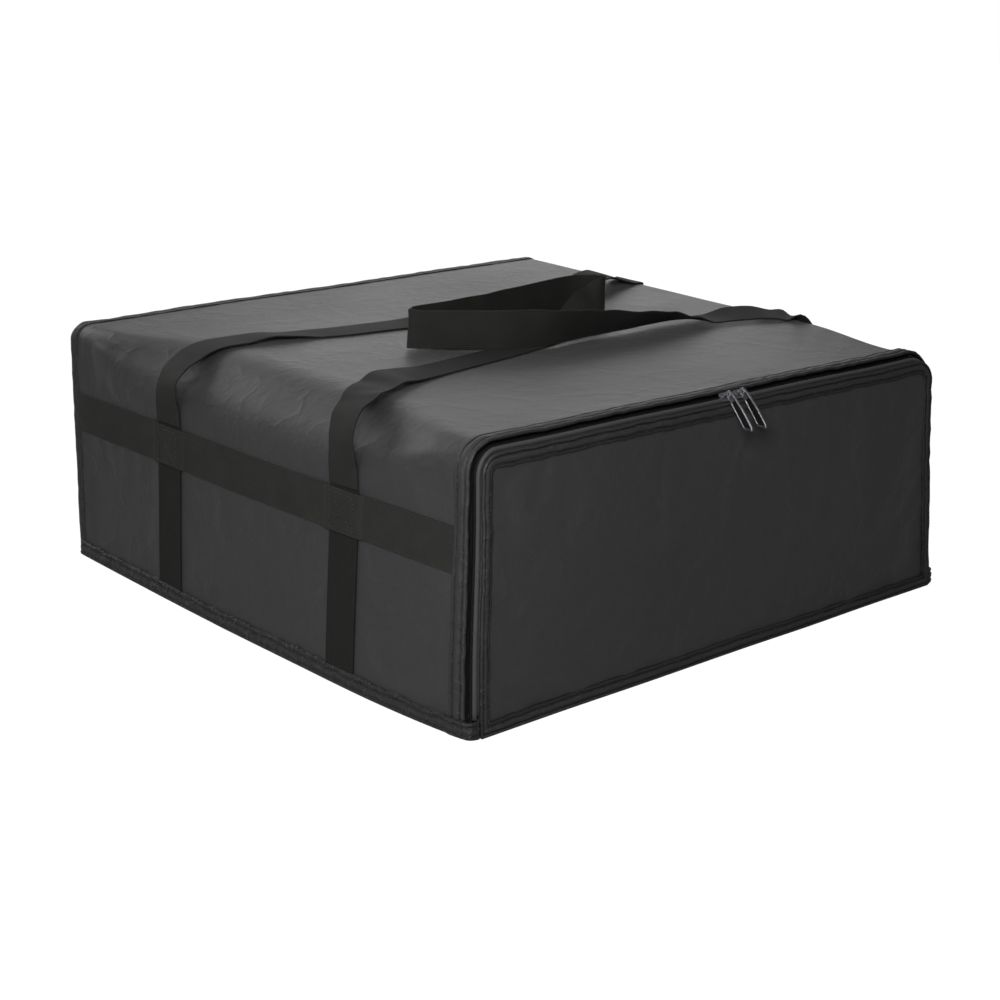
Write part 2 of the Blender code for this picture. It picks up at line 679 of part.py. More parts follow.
def make_bag():
    """Make the whole bag in its closed state."""
    clear_scene()
    group = new_collection("pizza_delivery_bag")
    tools = new_collection("shape_tools")
    make_wrap(group)
    make_back(group)
    make_base(group)
    make_edge_strips(group)
    proud = SEAM_GAP + ZIP_TAPE_WALL + SEAM_GAP + BORDER_WALL
    flap = new_empty("flap_hinge", group, (0.0, behind_front(0.0), proud))
    make_flap(group, flap)
    make_zip(group, flap)
    make_hinge_tape(group)
    make_side_webbing(group)
    make_handle("front_handle", group, FRONT_HANDLE_SHARES, FRONT_STRAP_SHARE, FRONT_GRIP_ROWS)
    make_handle("rear_handle", group, REAR_HANDLE_SHARES, REAR_STRAP_SHARE, REAR_GRIP_ROWS)
    for side_name, side in (("left", -1), ("right", 1)):
        x = SLIDER_MEETING + side * SLIDER_SPACING / 2
        slider = make_slider(f"{side_name}_slider", group, tools, x, flap)
        make_pull(f"{side_name}_pull", group, slider)


make_bag()
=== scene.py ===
"""Dressed model of an insulated pizza delivery bag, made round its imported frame.

Sizes are in metres. +X is to the right along the zipped front, +Y to the back and +Z up.
"""

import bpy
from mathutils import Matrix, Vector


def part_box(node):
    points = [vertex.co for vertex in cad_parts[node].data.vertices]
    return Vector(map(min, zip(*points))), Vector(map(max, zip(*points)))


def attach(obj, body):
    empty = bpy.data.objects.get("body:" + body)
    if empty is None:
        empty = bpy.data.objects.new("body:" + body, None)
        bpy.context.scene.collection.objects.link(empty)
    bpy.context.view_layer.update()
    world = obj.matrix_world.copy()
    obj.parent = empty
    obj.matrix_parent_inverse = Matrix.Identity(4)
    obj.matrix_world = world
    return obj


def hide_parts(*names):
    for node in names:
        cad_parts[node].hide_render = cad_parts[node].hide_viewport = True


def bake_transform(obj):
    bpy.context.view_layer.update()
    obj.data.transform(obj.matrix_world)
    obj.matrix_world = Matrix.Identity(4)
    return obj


bl_info = {
    "name": "Pizza Delivery Bag",
    "version": (1, 0, 0),
    "blender": (4, 5, 0),
    "location": "3D View > Sidebar > Bag",
    "description": "Makes the cloth, padding, zip, webbing and stitching of a pizza delivery bag",
    "category": "Object",
}

import math

import bmesh
import bpy
from bpy.props import FloatProperty, FloatVectorProperty, PointerProperty
from mathutils import Matrix, Vector, noise

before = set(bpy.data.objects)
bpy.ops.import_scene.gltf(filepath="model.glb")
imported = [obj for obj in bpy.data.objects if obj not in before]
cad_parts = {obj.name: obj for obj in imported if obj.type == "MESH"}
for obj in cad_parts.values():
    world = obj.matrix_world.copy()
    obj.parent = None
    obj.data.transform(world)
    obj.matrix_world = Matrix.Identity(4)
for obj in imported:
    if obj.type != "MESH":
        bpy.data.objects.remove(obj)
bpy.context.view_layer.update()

MM = 0.001

# The stiff box that the frame holds, over its cover
HALF_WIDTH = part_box("wrap_cover")[1].x
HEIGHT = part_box("wrap_cover")[1].z
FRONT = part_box("flap_cover")[0].y
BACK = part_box("back_cover")[1].y
DEPTH = BACK - FRONT

# Rounding of the top edges, as (left, right); the soft right corner droops at the front
FRONT_EDGE_RADII = (20 * MM, 32 * MM)
BORDER_EDGE_RADII = (20 * MM, 25 * MM)
MIDDLE_EDGE_RADII = (52 * MM, 9 * MM)
BACK_EDGE_RADII = (14 * MM, 9 * MM)
EDGE_RUN = 30 * MM
FRONT_EDGE_EASE = 100 * MM
BACK_EDGE_EASE = 110 * MM

# Zip, across the bevelled front edge
ZIP_SET = 5.2 * MM
PANEL_SET = 8 * MM
SLIT_SET = 2.7 * MM
ZIP_FOOT = 2 * MM
HEM_FOOT = 11 * MM
PANEL_TAPE_FOOT = HEM_FOOT + 4 * MM
PANEL_FOOT = 0.5 * MM
FOOT_ROUNDING = 1.5 * MM
LEAST_ROUNDING = 0.3 * MM

# Thickness of the cloth, the strips sewn on it and the padding
CLOTH_WALL = 1.2 * MM
STRIP_WALL = 0.6 * MM
TAPE_WALL = 0.5 * MM
WALL_PADDING = 5.2 * MM
BASE_PADDING = 5.6 * MM
PANEL_PADDING = 5.0 * MM
PADDING_ROUNDING = 0.8 * MM
CRINKLE_PITCH = 38 * MM
CRINKLE_DEPTH = 0.9 * MM

# Place of the cover and of the padding's inner face, from the outer faces of the stiff box
COVER_START = 8.6 * MM
COVER_EDGE = 1.5 * MM
PADDING_START = 9.6 * MM
PADDING_INSET = 8.4 * MM
PADDING_FOOT = 9.0 * MM
PANEL_CLOTH_FOOT = 0.7 * MM
PANEL_PADDING_INSET = 9.4 * MM
PANEL_PADDING_FOOT = 2.4 * MM
PANEL_PADDING_DEPTH = 8.2 * MM

# How far in the cloth is held at its sewn edges, over what width the hold fades, and how far the
# cloth may sink or rise where it is free
SEWN_EDGE = 12 * MM
SEWN_HEM = 20 * MM
HOLD_FADE = 14 * MM
BAND_FADE = 12 * MM
WRAP_SINK = 2.2 * MM
WRAP_RISE = 1.6 * MM
BACK_SINK = 2.0 * MM
BACK_RISE = 3.0 * MM
PANEL_MOVE = 1.5 * MM
BORDER_WIDTH = 8 * MM

# Sections of the hem and border, as (place across the strip, rise), and of the foot's binding, as
# (distance out, height), in millimetres; the grooves are the points under the seams and at the edges,
# where painted shade darkens the strips
HEM_SECTION = ((0.1, 0.5), (0.0, 1.6), (0.7, 2.5), (1.9, 2.5), (2.5, 1.2), (3.0, 1.2), (3.7, 2.4),
               (6.4, 2.7), (9.0, 2.3), (9.7, 1.1), (10.2, 1.1), (11.0, 2.2), (12.6, 2.1), (13.2, 0.5))
HEM_GROOVES = (0, 4, 5, 9, 10, 13)
BORDER_SECTION = ((0.1, 0.5), (0.2, 1.6), (0.8, 2.3), (1.8, 2.2), (2.3, 1.0), (2.7, 1.0), (3.3, 2.0),
                  (5.4, 2.2), (7.4, 1.9), (8.1, 0.9), (8.5, 0.9), (9.2, 1.7), (10.4, 1.5), (10.9, 0.3))
BORDER_GROOVES = (0, 4, 5, 9, 10, 13)
BORDER_SQUEEZE = 0.78
FOOT_SECTION = ((-0.2, 1.2), (1.0, 0.9), (2.2, 1.8), (2.5, 3.0), (1.7, 4.4), (2.4, 6.5), (2.7, 8.5),
                (1.4, 10.4), (1.4, 10.9), (2.4, 12.2), (2.0, 13.4), (0.7, 13.9))
FOOT_GROOVES = (1, 4, 7, 8, 11)

# Binding of the back edge, as (inset, distance behind the front) in millimetres
BACK_SECTION = ((0.2, 499.6), (-0.4, 500.0), (-0.6, 502.0), (-0.2, 503.6), (-0.6, 505.5), (-0.5, 508.4),
                (0.3, 509.2), (2.0, 509.2), (5.0, 508.9), (8.5, 509.2), (11.2, 509.0), (12.0, 508.4))
BACK_BINDING_FOOT = 3.0 * MM

# Bend of cloth that the front panel folds on, as (distance behind the front, height) in millimetres
HINGE_SECTION = ((8.9, 21.0), (8.9, 16.0), (8.9, 12.0), (9.2, 10.0), (10.0, 9.3), (12.0, 9.0),
                 (16.0, 9.0), (21.0, 9.0))

# Tapes of the zip, from beside the slit to their tuck, as (across the bevel, out from it) in millimetres
PANEL_TAPE_PROFILE = ((0.20, -0.5), (0.28, 0.25), (0.7, 0.9), (1.5, 1.1), (2.2, 0.8), (2.6, 0.1),
                      (2.7, -1.4), (2.9, -2.8), (3.4, -3.6), (4.4, -3.4))
BAG_TAPE_PROFILE = ((0.20, -1.2), (0.26, -0.7), (0.6, -0.45), (1.0, -0.5), (1.35, -0.9), (1.5, -2.2),
                    (1.6, -3.8), (2.0, -5.6), (3.0, -6.4), (4.4, -6.0))
TUCKED_TAPE = ((11.0, 1.9), (13.0, 1.9), (17.0, 1.9))

# Coil of the zip
COIL_PITCH = 1.3 * MM
COIL_PLACE = 1.15 * MM
COIL_WIDTH = 0.6 * MM
COIL_HEIGHT = 0.4 * MM
COIL_THREAD = 0.3 * MM
COIL_FOOT = 17 * MM

# Sliders, set a little to the left of the stiff box's, to follow the lean of its right front corner
SLIDER_PLACES = {"left": 2 * MM, "right": 17 * MM}
SLIDER_SHIFT = 14 * MM

# Blocks of a slider, as (size, centre, rounding, rounding of upright edges) in millimetres
SLIDER_BLOCKS = (
    ((11, 7.4, 1.2), (0, 0, 1.3), 0.35, 2.4),
    ((6, 0.7, 4.6), (0, 0, -0.7), 0.15, 0.0),
    ((10, 3.9, 1.1), (0, -1.6, -3.0), 0.3, 0.0),
    ((1.3, 1.8, 3.2), (-3.6, 0, 3.1), 0.35, 0.0),
    ((1.3, 1.8, 3.2), (3.6, 0, 3.1), 0.35, 0.0),
    ((8.4, 1.8, 1.15), (0, 0, 4.85), 0.4, 0.0),
)
CROWN_AXIS = 4.8 * MM

# Pull tab, with its window and web, as (along, across) in millimetres from the axis that it turns on
PULL_OUTLINE = ((-1.9, -1.9), (29.1, -2.2), (34.1, 4.0), (31.6, 5.4), (17.1, 5.4), (4.2, 4.0), (-1.9, 1.9))
PULL_SLOT = ((-1.0, -1.0), (4.2, -1.0), (4.2, 2.6), (-1.0, 1.0))
PULL_WINDOW = ((7.4, -0.8), (28.0, -0.9), (31.0, 3.2), (30.4, 4.0), (17.1, 4.0), (7.4, 2.9))
PULL_WEB = ((6.9, -1.3), (28.3, -1.4), (31.6, 3.3), (30.6, 4.5), (17.1, 4.5), (6.9, 3.3))
PULL_WALL = 1.8 * MM
PULL_WEB_WALL = 0.8 * MM
PULL_DROOP = math.radians(50)

# Webbing; its sheet is a little thinner than the space left for it, its wall
WEBBING_WIDTH = 32 * MM
WEBBING_WALL = 1.4 * MM
WEBBING_SHEET = 1.3 * MM
WEBBING_GAP = 0.3 * MM
WEBBING_CROWN = 0.25 * MM
BAND_MIDDLE = 130 * MM
HEAD_ABOVE_BAND = 2 * MM
BAND_STEP = 1.7 * MM
BAND_STEP_FOOT = 7.7 * MM
STRAP_PLACES = {"front": -0.476 * DEPTH / 2, "rear": 0.410 * DEPTH / 2}

# Height under which the bag's foot rests flat on the floor, waves of slack in a metre, and the size
# of the small irregularities of the strips
SETTLED_FOOT = 8 * MM
SLACK_WAVES = 9.0
UNEVEN_PITCH = 9 * MM

# How the soft bag's corners lie off the stiff box, by side, end and height
CORNER_MOVES = {
    (-1, -1, 0): (0.0, -3 * MM, 0.0), (1, -1, 0): (1 * MM, -2 * MM, 0.0),
    (-1, 1, 0): (-4 * MM, 1 * MM, 0.0), (1, 1, 0): (2 * MM, 1 * MM, 0.0),
    (-1, -1, 1): (1 * MM, 0.0, 0.0), (1, -1, 1): (-18 * MM, 0.0, 0.0),
    (-1, 1, 1): (-4 * MM, 0.0, -2 * MM), (1, 1, 1): (4 * MM, -3 * MM, 5 * MM),
}

SIDE_STEPS = 26
BEND_STEPS = 8
TOP_STEPS = 66

# Routes of the handles, as rows of place across the bag in half widths, place along it in half
# depths, rise in webbing widths, and lean: 0 flat, 1 standing on its edge, 2 flat and turned over
FRONT_HANDLE_ROUTE = (
    (-1.01, -0.475, -1.30, 0.00), (-1.015, -0.475, -0.95, -0.05), (-1.015, -0.47, -0.60, -0.10),
    (-0.99, -0.46, -0.20, -0.10), (-0.93, -0.44, 0.05, -0.05), (-0.87, -0.40, 0.15, 0.00),
    (-0.80, -0.36, 0.15, 0.00), (-0.72, -0.32, 0.15, 0.05), (-0.62, -0.28, 0.05, 0.05),
    (-0.48, -0.24, 0.00, 0.00), (-0.32, -0.21, 0.00, 0.00), (-0.16, -0.18, 0.00, 0.00),
    (0.00, -0.14, 0.00, 0.00), (0.13, -0.09, 0.00, 0.00), (0.28, -0.02, 0.00, 0.10),
    (0.41, 0.02, 0.00, 0.50), (0.48, 0.03, 0.00, 0.95), (0.50, 0.06, 0.00, 1.10),
    (0.48, 0.09, 0.00, 1.05), (0.40, 0.12, 0.00, 1.00), (0.27, 0.11, 0.00, 1.00),
    (0.14, 0.09, 0.00, 1.00), (0.06, 0.08, 0.00, 1.00), (-0.02, 0.06, 0.00, 1.00),
    (-0.09, 0.06, 0.00, 1.00), (-0.20, 0.05, 0.00, 1.00), (-0.32, 0.05, 0.00, 1.00),
    (-0.36, 0.04, 0.00, 1.05), (-0.37, 0.02, 0.00, 1.05), (-0.34, -0.01, 0.00, 1.10),
    (-0.24, -0.09, 0.00, 1.10), (-0.15, -0.16, 0.00, 1.10), (-0.07, -0.20, 0.00, 1.10),
    (0.03, -0.23, 0.00, 1.25), (0.12, -0.23, 0.00, 1.35), (0.22, -0.23, 0.00, 1.45),
    (0.37, -0.24, 0.00, 1.60), (0.50, -0.24, 0.00, 1.70), (0.60, -0.25, 0.00, 1.85),
    (0.70, -0.27, 0.00, 2.00), (0.80, -0.30, 0.00, 2.10), (0.87, -0.33, 0.00, 2.10),
    (0.94, -0.37, -0.04, 2.05), (0.99, -0.41, -0.08, 2.00), (1.01, -0.44, -0.55, 2.00),
    (1.01, -0.475, -1.30, 2.00),
)
REAR_HANDLE_ROUTE = (
    (-1.01, 0.41, -1.35, 0.00), (-1.015, 0.41, -1.05, -0.05), (-1.01, 0.41, -0.70, -0.10),
    (-0.98, 0.41, -0.38, -0.05), (-0.93, 0.41, -0.12, 0.00), (-0.88, 0.42, 0.00, 0.00),
    (-0.82, 0.43, 0.05, 0.00), (-0.74, 0.43, 0.05, 0.00), (-0.64, 0.42, 0.05, -0.05),
    (-0.56, 0.40, 0.00, -0.05), (-0.47, 0.38, 0.00, 0.00), (-0.38, 0.36, 0.00, 0.00),
    (-0.19, 0.34, 0.00, 0.00), (-0.06, 0.31, 0.00, 0.05), (0.06, 0.28, 0.00, 0.15),
    (0.20, 0.26, 0.00, 0.25), (0.35, 0.27, 0.05, 0.30), (0.54, 0.30, 0.15, 0.20),
    (0.70, 0.35, 0.35, 0.05), (0.80, 0.38, 0.35, 0.05), (0.87, 0.40, 0.20, 0.00),
    (0.94, 0.40, 0.02, 0.00), (0.99, 0.41, -0.06, 0.00), (1.01, 0.41, -0.50, 0.00),
    (1.01, 0.41, -1.30, 0.00),
)
FRONT_GRIP_ROWS = (14, 39)
REAR_GRIP_ROWS = (14, 18)
ROUTE_STEPS = 6

# Sewing: the seams' places, where two of them end above the floor, their rise over the stiff box's
# faces, and the share of each pitch that a stitch fills
HEM_SEAMS = (2.7 * MM, 10.0 * MM)
BORDER_SEAMS = (2.5 * MM, 8.3 * MM)
BACK_SEAM = 503.4 * MM
FOOT_SEAM = 10.6 * MM
HEM_SEAM_FOOT = 15 * MM
BACK_SEAM_FOOT = 14 * MM
HEM_SEAM_RISE = 1.5 * MM
BORDER_SEAM_RISE = 1.3 * MM
BACK_SEAM_RISE = 1.0 * MM
FOOT_SEAM_RISE = 1.8 * MM
BAND_SEAM_RISE = 3.75 * MM
STITCH_SHARE = 0.72

# Frames that the cloth takes to slump
SETTLE_FRAMES = 20

# Floor and surroundings
PAPER_SHADE = 0.32
PAPER_GLOW = 1.13
GLOW_SHARE = 0.9
SURROUNDING_LIGHT = 0.14

# Lamps, as name, place, point lit, size and power
SOFTBOXES = (
    ("top_softbox", (0.3, 0.9, 2.0), (0, 0, 0.1), 1.6, 4.2),
    ("back_softbox", (1.7, 1.85, 1.0), (0, 0, 0.15), 1.4, 8.4),
    ("rear_softbox", (-0.3, 2.1, 1.0), (0, 0, 0.15), 0.9, 9.5),
    ("left_softbox", (-2.0, 0.1, 0.25), (-0.2, -0.1, 0.1), 1.0, 9.0),
    ("front_softbox", (-0.9, -0.9, 0.70), (-0.1, -0.25, 0.1), 0.35, 12.4),
)

# Camera: turn, dip and roll in radians, the point it looks at, its distance and its lens in sensor widths
CAMERA_TURN = 0.73153
CAMERA_DIP = 0.29289
CAMERA_ROLL = 0.01818
CAMERA_TARGET = (-0.08866, -0.09503, 0.1)
CAMERA_DISTANCE = 1.46988
CAMERA_LENS = 1.90259
SENSOR_WIDTH = 36.0


# Shapes shared by the pieces

def smooth_share(value):
    """Ease a share from 0 to 1 at both ends."""
    value = min(max(value, 0.0), 1.0)
    return value * value * (3.0 - 2.0 * value)


def edge_radii(distance):
    """Rounding of the left and right top edges at a distance behind the front."""
    front = smooth_share((distance - EDGE_RUN) / FRONT_EDGE_EASE)
    back = smooth_share((DEPTH - EDGE_RUN - distance) / BACK_EDGE_EASE)
    radii = []
    for near, middle, far in zip(FRONT_EDGE_RADII, MIDDLE_EDGE_RADII, BACK_EDGE_RADII):
        radii.append(far + (near + (middle - near) * front - far) * back)
    return radii


def line_points(start, end, steps):
    """Even points from start up to, but not including, end."""
    return [(start[0] + (end[0] - start[0]) * k / steps, start[1] + (end[1] - start[1]) * k / steps)
            for k in range(steps)]


def arch(inset, radii, foot, closed=False, side_inset=None):
    """Outline of left side, top and right side in (x, z), moved in by an inset; closed adds the foot."""
    half = HALF_WIDTH - (inset if side_inset is None else side_inset)
    top = HEIGHT - inset
    left, right = (max(radius - inset, LEAST_ROUNDING) for radius in radii)
    low = max(FOOT_ROUNDING + ZIP_SET - inset, LEAST_ROUNDING) if closed else 0.0
    points = line_points((-half, foot + low), (-half, top - left), SIDE_STEPS)
    for step in range(BEND_STEPS):
        turn = math.pi / 2 * step / BEND_STEPS
        points.append((-half + left - left * math.cos(turn), top - left + left * math.sin(turn)))
    points += line_points((-half + left, top), (half - right, top), TOP_STEPS)
    for step in range(BEND_STEPS):
        turn = math.pi / 2 * (1 - step / BEND_STEPS)
        points.append((half - right + right * math.cos(turn), top - right + right * math.sin(turn)))
    points += line_points((half, top - right), (half, foot + low), SIDE_STEPS)
    if closed:
        turns = [math.pi / 2 * step / BEND_STEPS for step in range(BEND_STEPS + 1)]
        points += [(half - low + low * math.cos(turn), foot + low - low * math.sin(turn))
                   for turn in turns[:-1]]
        points += line_points((half - low, foot), (-half + low, foot), TOP_STEPS)
        points += [(-half + low - low * math.sin(turn), foot + low - low * math.cos(turn)) for turn in turns]
    else:
        points.append((half, foot))
    return points


def section_rows(section, radii, closed=False, squeeze=1.0):
    """Rows round the arch for a section of (inset, distance behind the front, foot) points.

    Squeeze narrows the section on the sides.
    """
    columns = []
    for inset, _, foot in section:
        side_inset = ZIP_SET + (inset - ZIP_SET) * squeeze if squeeze < 1.0 else None
        columns.append(arch(inset, radii, foot, closed, side_inset))
    return [[Vector((column[j][0], FRONT + distance, column[j][1]))
             for column, (_, distance, _) in zip(columns, section)] for j in range(len(columns[0]))]


def relax(point):
    """Where a point of the stiff box lies on the soft bag, which slumps a little."""
    sizes = bpy.context.scene.bag_sizes
    across = min(max(point.x / HALF_WIDTH, -1.0), 1.0)
    along = min(max((point.y - FRONT) / DEPTH, 0.0), 1.0)
    up = min(max(point.z / HEIGHT, 0.0), 1.0)
    shift = Vector((0.0, 0.0, 0.0))
    for (side, end, top), move in CORNER_MOVES.items():
        share = (1 + side * across) / 2 * (along if end > 0 else 1 - along) * (up if top else 1 - up)
        shift += Vector(move) * share
    arc = math.sin(math.pi * along)
    out = sizes.side_bulge * math.sin(math.pi * along ** 0.6) * (1.0 - up) * abs(across) ** 3
    sag = (sizes.top_sag * arc + sizes.rim_sag * (1.0 - along)) * (1.0 - across * across) * up ** 4
    wave = noise.noise_vector(point * SLACK_WAVES) * sizes.slack
    moved = point + shift + Vector((math.copysign(out, across), 0.0, -sag)) + wave
    if point.z < SETTLED_FOOT:
        moved.z = point.z + (moved.z - point.z) * point.z / SETTLED_FOOT
    return moved


def wrinkle(point, pitch, depth, seed):
    """Soft ridged relief at a point, from minus depth to 0."""
    place = point / pitch + Vector((seed, seed * 0.7, -seed))
    value = noise.noise(place) * 0.7 + noise.noise(place * 2.3) * 0.3
    return -depth * (1.0 - abs(value)) ** 6


def map_grid(name, rows, flip=False, weld=False, soft=True, uneven=0.0):
    """Bend a grid through rows of points, and give it a UV map in metres across and along it.

    Soft lays it on the slumped bag. Uneven is the depth of its small irregularities.
    """
    across, along = len(rows[0]) - 1, len(rows) - 1
    bm = bmesh.new()
    bmesh.ops.create_grid(bm, x_segments=across, y_segments=along, size=1.0)
    run = [0.0]
    for row in range(along):
        steps = [(rows[row + 1][k] - rows[row][k]).length for k in range(across + 1)]
        run.append(run[-1] + sum(steps) / len(steps))
    uv = bm.loops.layers.uv.new("cloth")
    measure = {}
    for vert in bm.verts:
        column = round((vert.co.x + 1.0) / 2.0 * across)
        row = round((vert.co.y + 1.0) / 2.0 * along)
        width = sum((rows[row][k + 1] - rows[row][k]).length for k in range(column))
        whole = width + sum((rows[row][k + 1] - rows[row][k]).length for k in range(column, across))
        measure[vert] = (width - whole / 2, run[row])
        place = rows[row][column]
        vert.co = relax(place) if soft else place
        if uneven:
            vert.co += noise.noise_vector(place / UNEVEN_PITCH) * uneven * smooth_share(place.z / (10 * MM))
    for face in bm.faces:
        for loop in face.loops:
            loop[uv].uv = measure[loop.vert]
    if flip:
        bmesh.ops.reverse_faces(bm, faces=bm.faces)
    if weld:
        bmesh.ops.remove_doubles(bm, verts=bm.verts, dist=0.02 * MM)
    return new_piece(name, bm)


def new_piece(name, bm):
    """Turn a bmesh into a smooth shaded object of the scene."""
    mesh = bpy.data.meshes.new(name)
    bm.to_mesh(mesh)
    bm.free()
    mesh.shade_smooth()
    piece = bpy.data.objects.new(name, mesh)
    bpy.context.scene.collection.objects.link(piece)
    return piece


def give_wall(piece, wall, offset=0.0, rounding=0.0):
    """Give a sheet its thickness, with rounded edges."""
    solid = piece.modifiers.new("Wall", "SOLIDIFY")
    solid.thickness = wall
    solid.offset = offset
    solid.use_even_offset = True
    if rounding:
        bevel = piece.modifiers.new("Edges", "BEVEL")
        bevel.width = rounding
        bevel.segments = 2
        bevel.limit_method = "ANGLE"
        bevel.angle_limit = math.radians(60)
        bevel.profile = 0.5
        bevel.material = -1


def dress(piece, material, body, nodes=()):
    """Give a piece its finish, the body that it rides on and the nodes that it stands for."""
    piece.data.materials.append(material)
    if body:
        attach(piece, body)
    if nodes:
        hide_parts(*nodes)
    return piece


# Materials

def node_group(name, inputs, outputs):
    """Start a shader node group with named sockets; each input is (name, type, default)."""
    tree = bpy.data.node_groups.new(name, "ShaderNodeTree")
    for socket_name, kind, default in inputs:
        socket = tree.interface.new_socket(socket_name, in_out="INPUT", socket_type=kind)
        if default is not None:
            socket.default_value = default
    for socket_name, kind in outputs:
        tree.interface.new_socket(socket_name, in_out="OUTPUT", socket_type=kind)
    return tree, tree.nodes.new("NodeGroupInput"), tree.nodes.new("NodeGroupOutput")


def wire(tree, source, target):
    """Link two sockets, or set a value on a socket."""
    if isinstance(source, bpy.types.NodeSocket):
        tree.links.new(source, target)
    else:
        target.default_value = source


def math_node(tree, operation, *values):
    """Add a maths node and return its output."""
    node = tree.nodes.new("ShaderNodeMath")
    node.operation = operation
    for value, socket in zip(values, node.inputs):
        wire(tree, value, socket)
    return node.outputs[0]


def mix_colour(tree, share, first, second):
    """Mix two colours by a share and return the output."""
    node = tree.nodes.new("ShaderNodeMix")
    node.data_type = "RGBA"
    wire(tree, share, node.inputs["Factor"])
    wire(tree, first, node.inputs[6])
    wire(tree, second, node.inputs[7])
    return node.outputs[2]


def noise_value(tree, vector, scale, detail=3.0):
    """Add a noise texture and return its value."""
    node = tree.nodes.new("ShaderNodeTexNoise")
    wire(tree, vector, node.inputs["Vector"])
    wire(tree, scale, node.inputs["Scale"])
    node.inputs["Detail"].default_value = detail
    return node.outputs["Fac"]


def weave_group():
    """Plain weave: threads that pass over and under one another, from a map in metres."""
    tree, start, end = node_group("plain_weave", [("Vector", "NodeSocketVector", None),
                                                  ("Threads", "NodeSocketFloat", 1600.0)],
                                  [("Height", "NodeSocketFloat"), ("Shade", "NodeSocketFloat")])
    split = tree.nodes.new("ShaderNodeSeparateXYZ")
    wire(tree, start.outputs["Vector"], split.inputs[0])
    places = [math_node(tree, "MULTIPLY", split.outputs[k], start.outputs["Threads"]) for k in range(2)]
    rounds = [math_node(tree, "ABSOLUTE", math_node(tree, "SINE", math_node(tree, "MULTIPLY", p, math.pi)))
              for p in places]
    cells = math_node(tree, "ADD", *[math_node(tree, "FLOOR", p) for p in places])
    over = math_node(tree, "PINGPONG", cells, 1.0)
    warp = math_node(tree, "MULTIPLY", rounds[0], over)
    weft = math_node(tree, "MULTIPLY", rounds[1], math_node(tree, "SUBTRACT", 1.0, over))
    height = math_node(tree, "POWER", math_node(tree, "ADD", warp, weft), 0.6)
    wire(tree, height, end.inputs["Height"])
    # Shade: painted shade in the hollows between threads, varied by a random mottle
    mottle = noise_value(tree, start.outputs["Vector"], 60.0, 4.0)
    shade = math_node(tree, "MULTIPLY", height, math_node(tree, "ADD", mottle, 0.4))
    wire(tree, shade, end.inputs["Shade"])
    return tree


def ribbed_group():
    """Ribbed webbing: cords along the webbing that step in a chevron, from a map in metres."""
    tree, start, end = node_group("ribbed_webbing", [("Vector", "NodeSocketVector", None),
                                                     ("Ribs", "NodeSocketFloat", 620.0),
                                                     ("Picks", "NodeSocketFloat", 520.0)],
                                  [("Height", "NodeSocketFloat"), ("Shade", "NodeSocketFloat")])
    split = tree.nodes.new("ShaderNodeSeparateXYZ")
    wire(tree, start.outputs["Vector"], split.inputs[0])
    across = math_node(tree, "MULTIPLY", split.outputs[0], start.outputs["Ribs"])
    along = math_node(tree, "MULTIPLY", split.outputs[1], start.outputs["Picks"])
    rib = math_node(tree, "ABSOLUTE", math_node(tree, "SINE", math_node(tree, "MULTIPLY", across, math.pi)))
    chevron = math_node(tree, "PINGPONG", across, 2.0)
    pick = math_node(tree, "ABSOLUTE", math_node(
        tree, "SINE", math_node(tree, "MULTIPLY", math_node(tree, "ADD", along, chevron), math.pi)))
    height = math_node(tree, "ADD", math_node(tree, "MULTIPLY", rib, 0.6),
                       math_node(tree, "MULTIPLY", pick, 0.4))
    wire(tree, height, end.inputs["Height"])
    # Shade: painted shade between the ribs and picks, varied at random by wear
    worn = noise_value(tree, start.outputs["Vector"], 45.0, 4.0)
    wire(tree, math_node(tree, "MULTIPLY", height, math_node(tree, "ADD", worn, 0.4)), end.inputs["Shade"])
    return tree


def crease_group():
    """Fine creases and handling marks of coated cloth, from object coordinates."""
    tree, start, end = node_group("cloth_creases", [("Vector", "NodeSocketVector", None),
                                                    ("Scale", "NodeSocketFloat", 26.0)],
                                  [("Height", "NodeSocketFloat"), ("Mottle", "NodeSocketFloat")])
    broad = noise_value(tree, start.outputs["Vector"], start.outputs["Scale"], 3.0)
    fold = math_node(tree, "ABSOLUTE", math_node(tree, "SUBTRACT", broad, 0.5))
    ridge = math_node(tree, "POWER", math_node(tree, "SUBTRACT", 1.0, fold), 12.0)
    fine = noise_value(tree, start.outputs["Vector"], 210.0, 4.0)
    wire(tree, math_node(tree, "ADD", ridge, math_node(tree, "MULTIPLY", fine, 0.35)), end.inputs["Height"])
    wire(tree, noise_value(tree, start.outputs["Vector"], 7.0, 5.0), end.inputs["Mottle"])
    return tree


def seam_group():
    """Painted shade that gathers in a seam's groove, from a map in metres."""
    tree, start, end = node_group("seam_shade", [("Vector", "NodeSocketVector", None),
                                                 ("Place", "NodeSocketFloat", 0.0),
                                                 ("Reach", "NodeSocketFloat", 0.0022)],
                                  [("Light", "NodeSocketFloat")])
    split = tree.nodes.new("ShaderNodeSeparateXYZ")
    wire(tree, start.outputs["Vector"], split.inputs[0])
    off = math_node(tree, "ABSOLUTE", math_node(tree, "SUBTRACT", split.outputs[0], start.outputs["Place"]))
    light = math_node(tree, "DIVIDE", off, start.outputs["Reach"])
    light.node.use_clamp = True
    wire(tree, light, end.inputs["Light"])
    return tree


def strip_places(section, chosen):
    """Places across a strip's map of chosen points of its section, in metres from its middle."""
    run = [0.0]
    for first, second in zip(section, section[1:]):
        run.append(run[-1] + math.dist(first, second))
    return [(run[index] - run[-1] / 2) * MM for index in chosen]


def shared_group(name):
    """The named node group, made once."""
    makers = {"plain_weave": weave_group, "ribbed_webbing": ribbed_group, "cloth_creases": crease_group,
              "seam_shade": seam_group}
    return bpy.data.node_groups.get(name) or makers[name]()


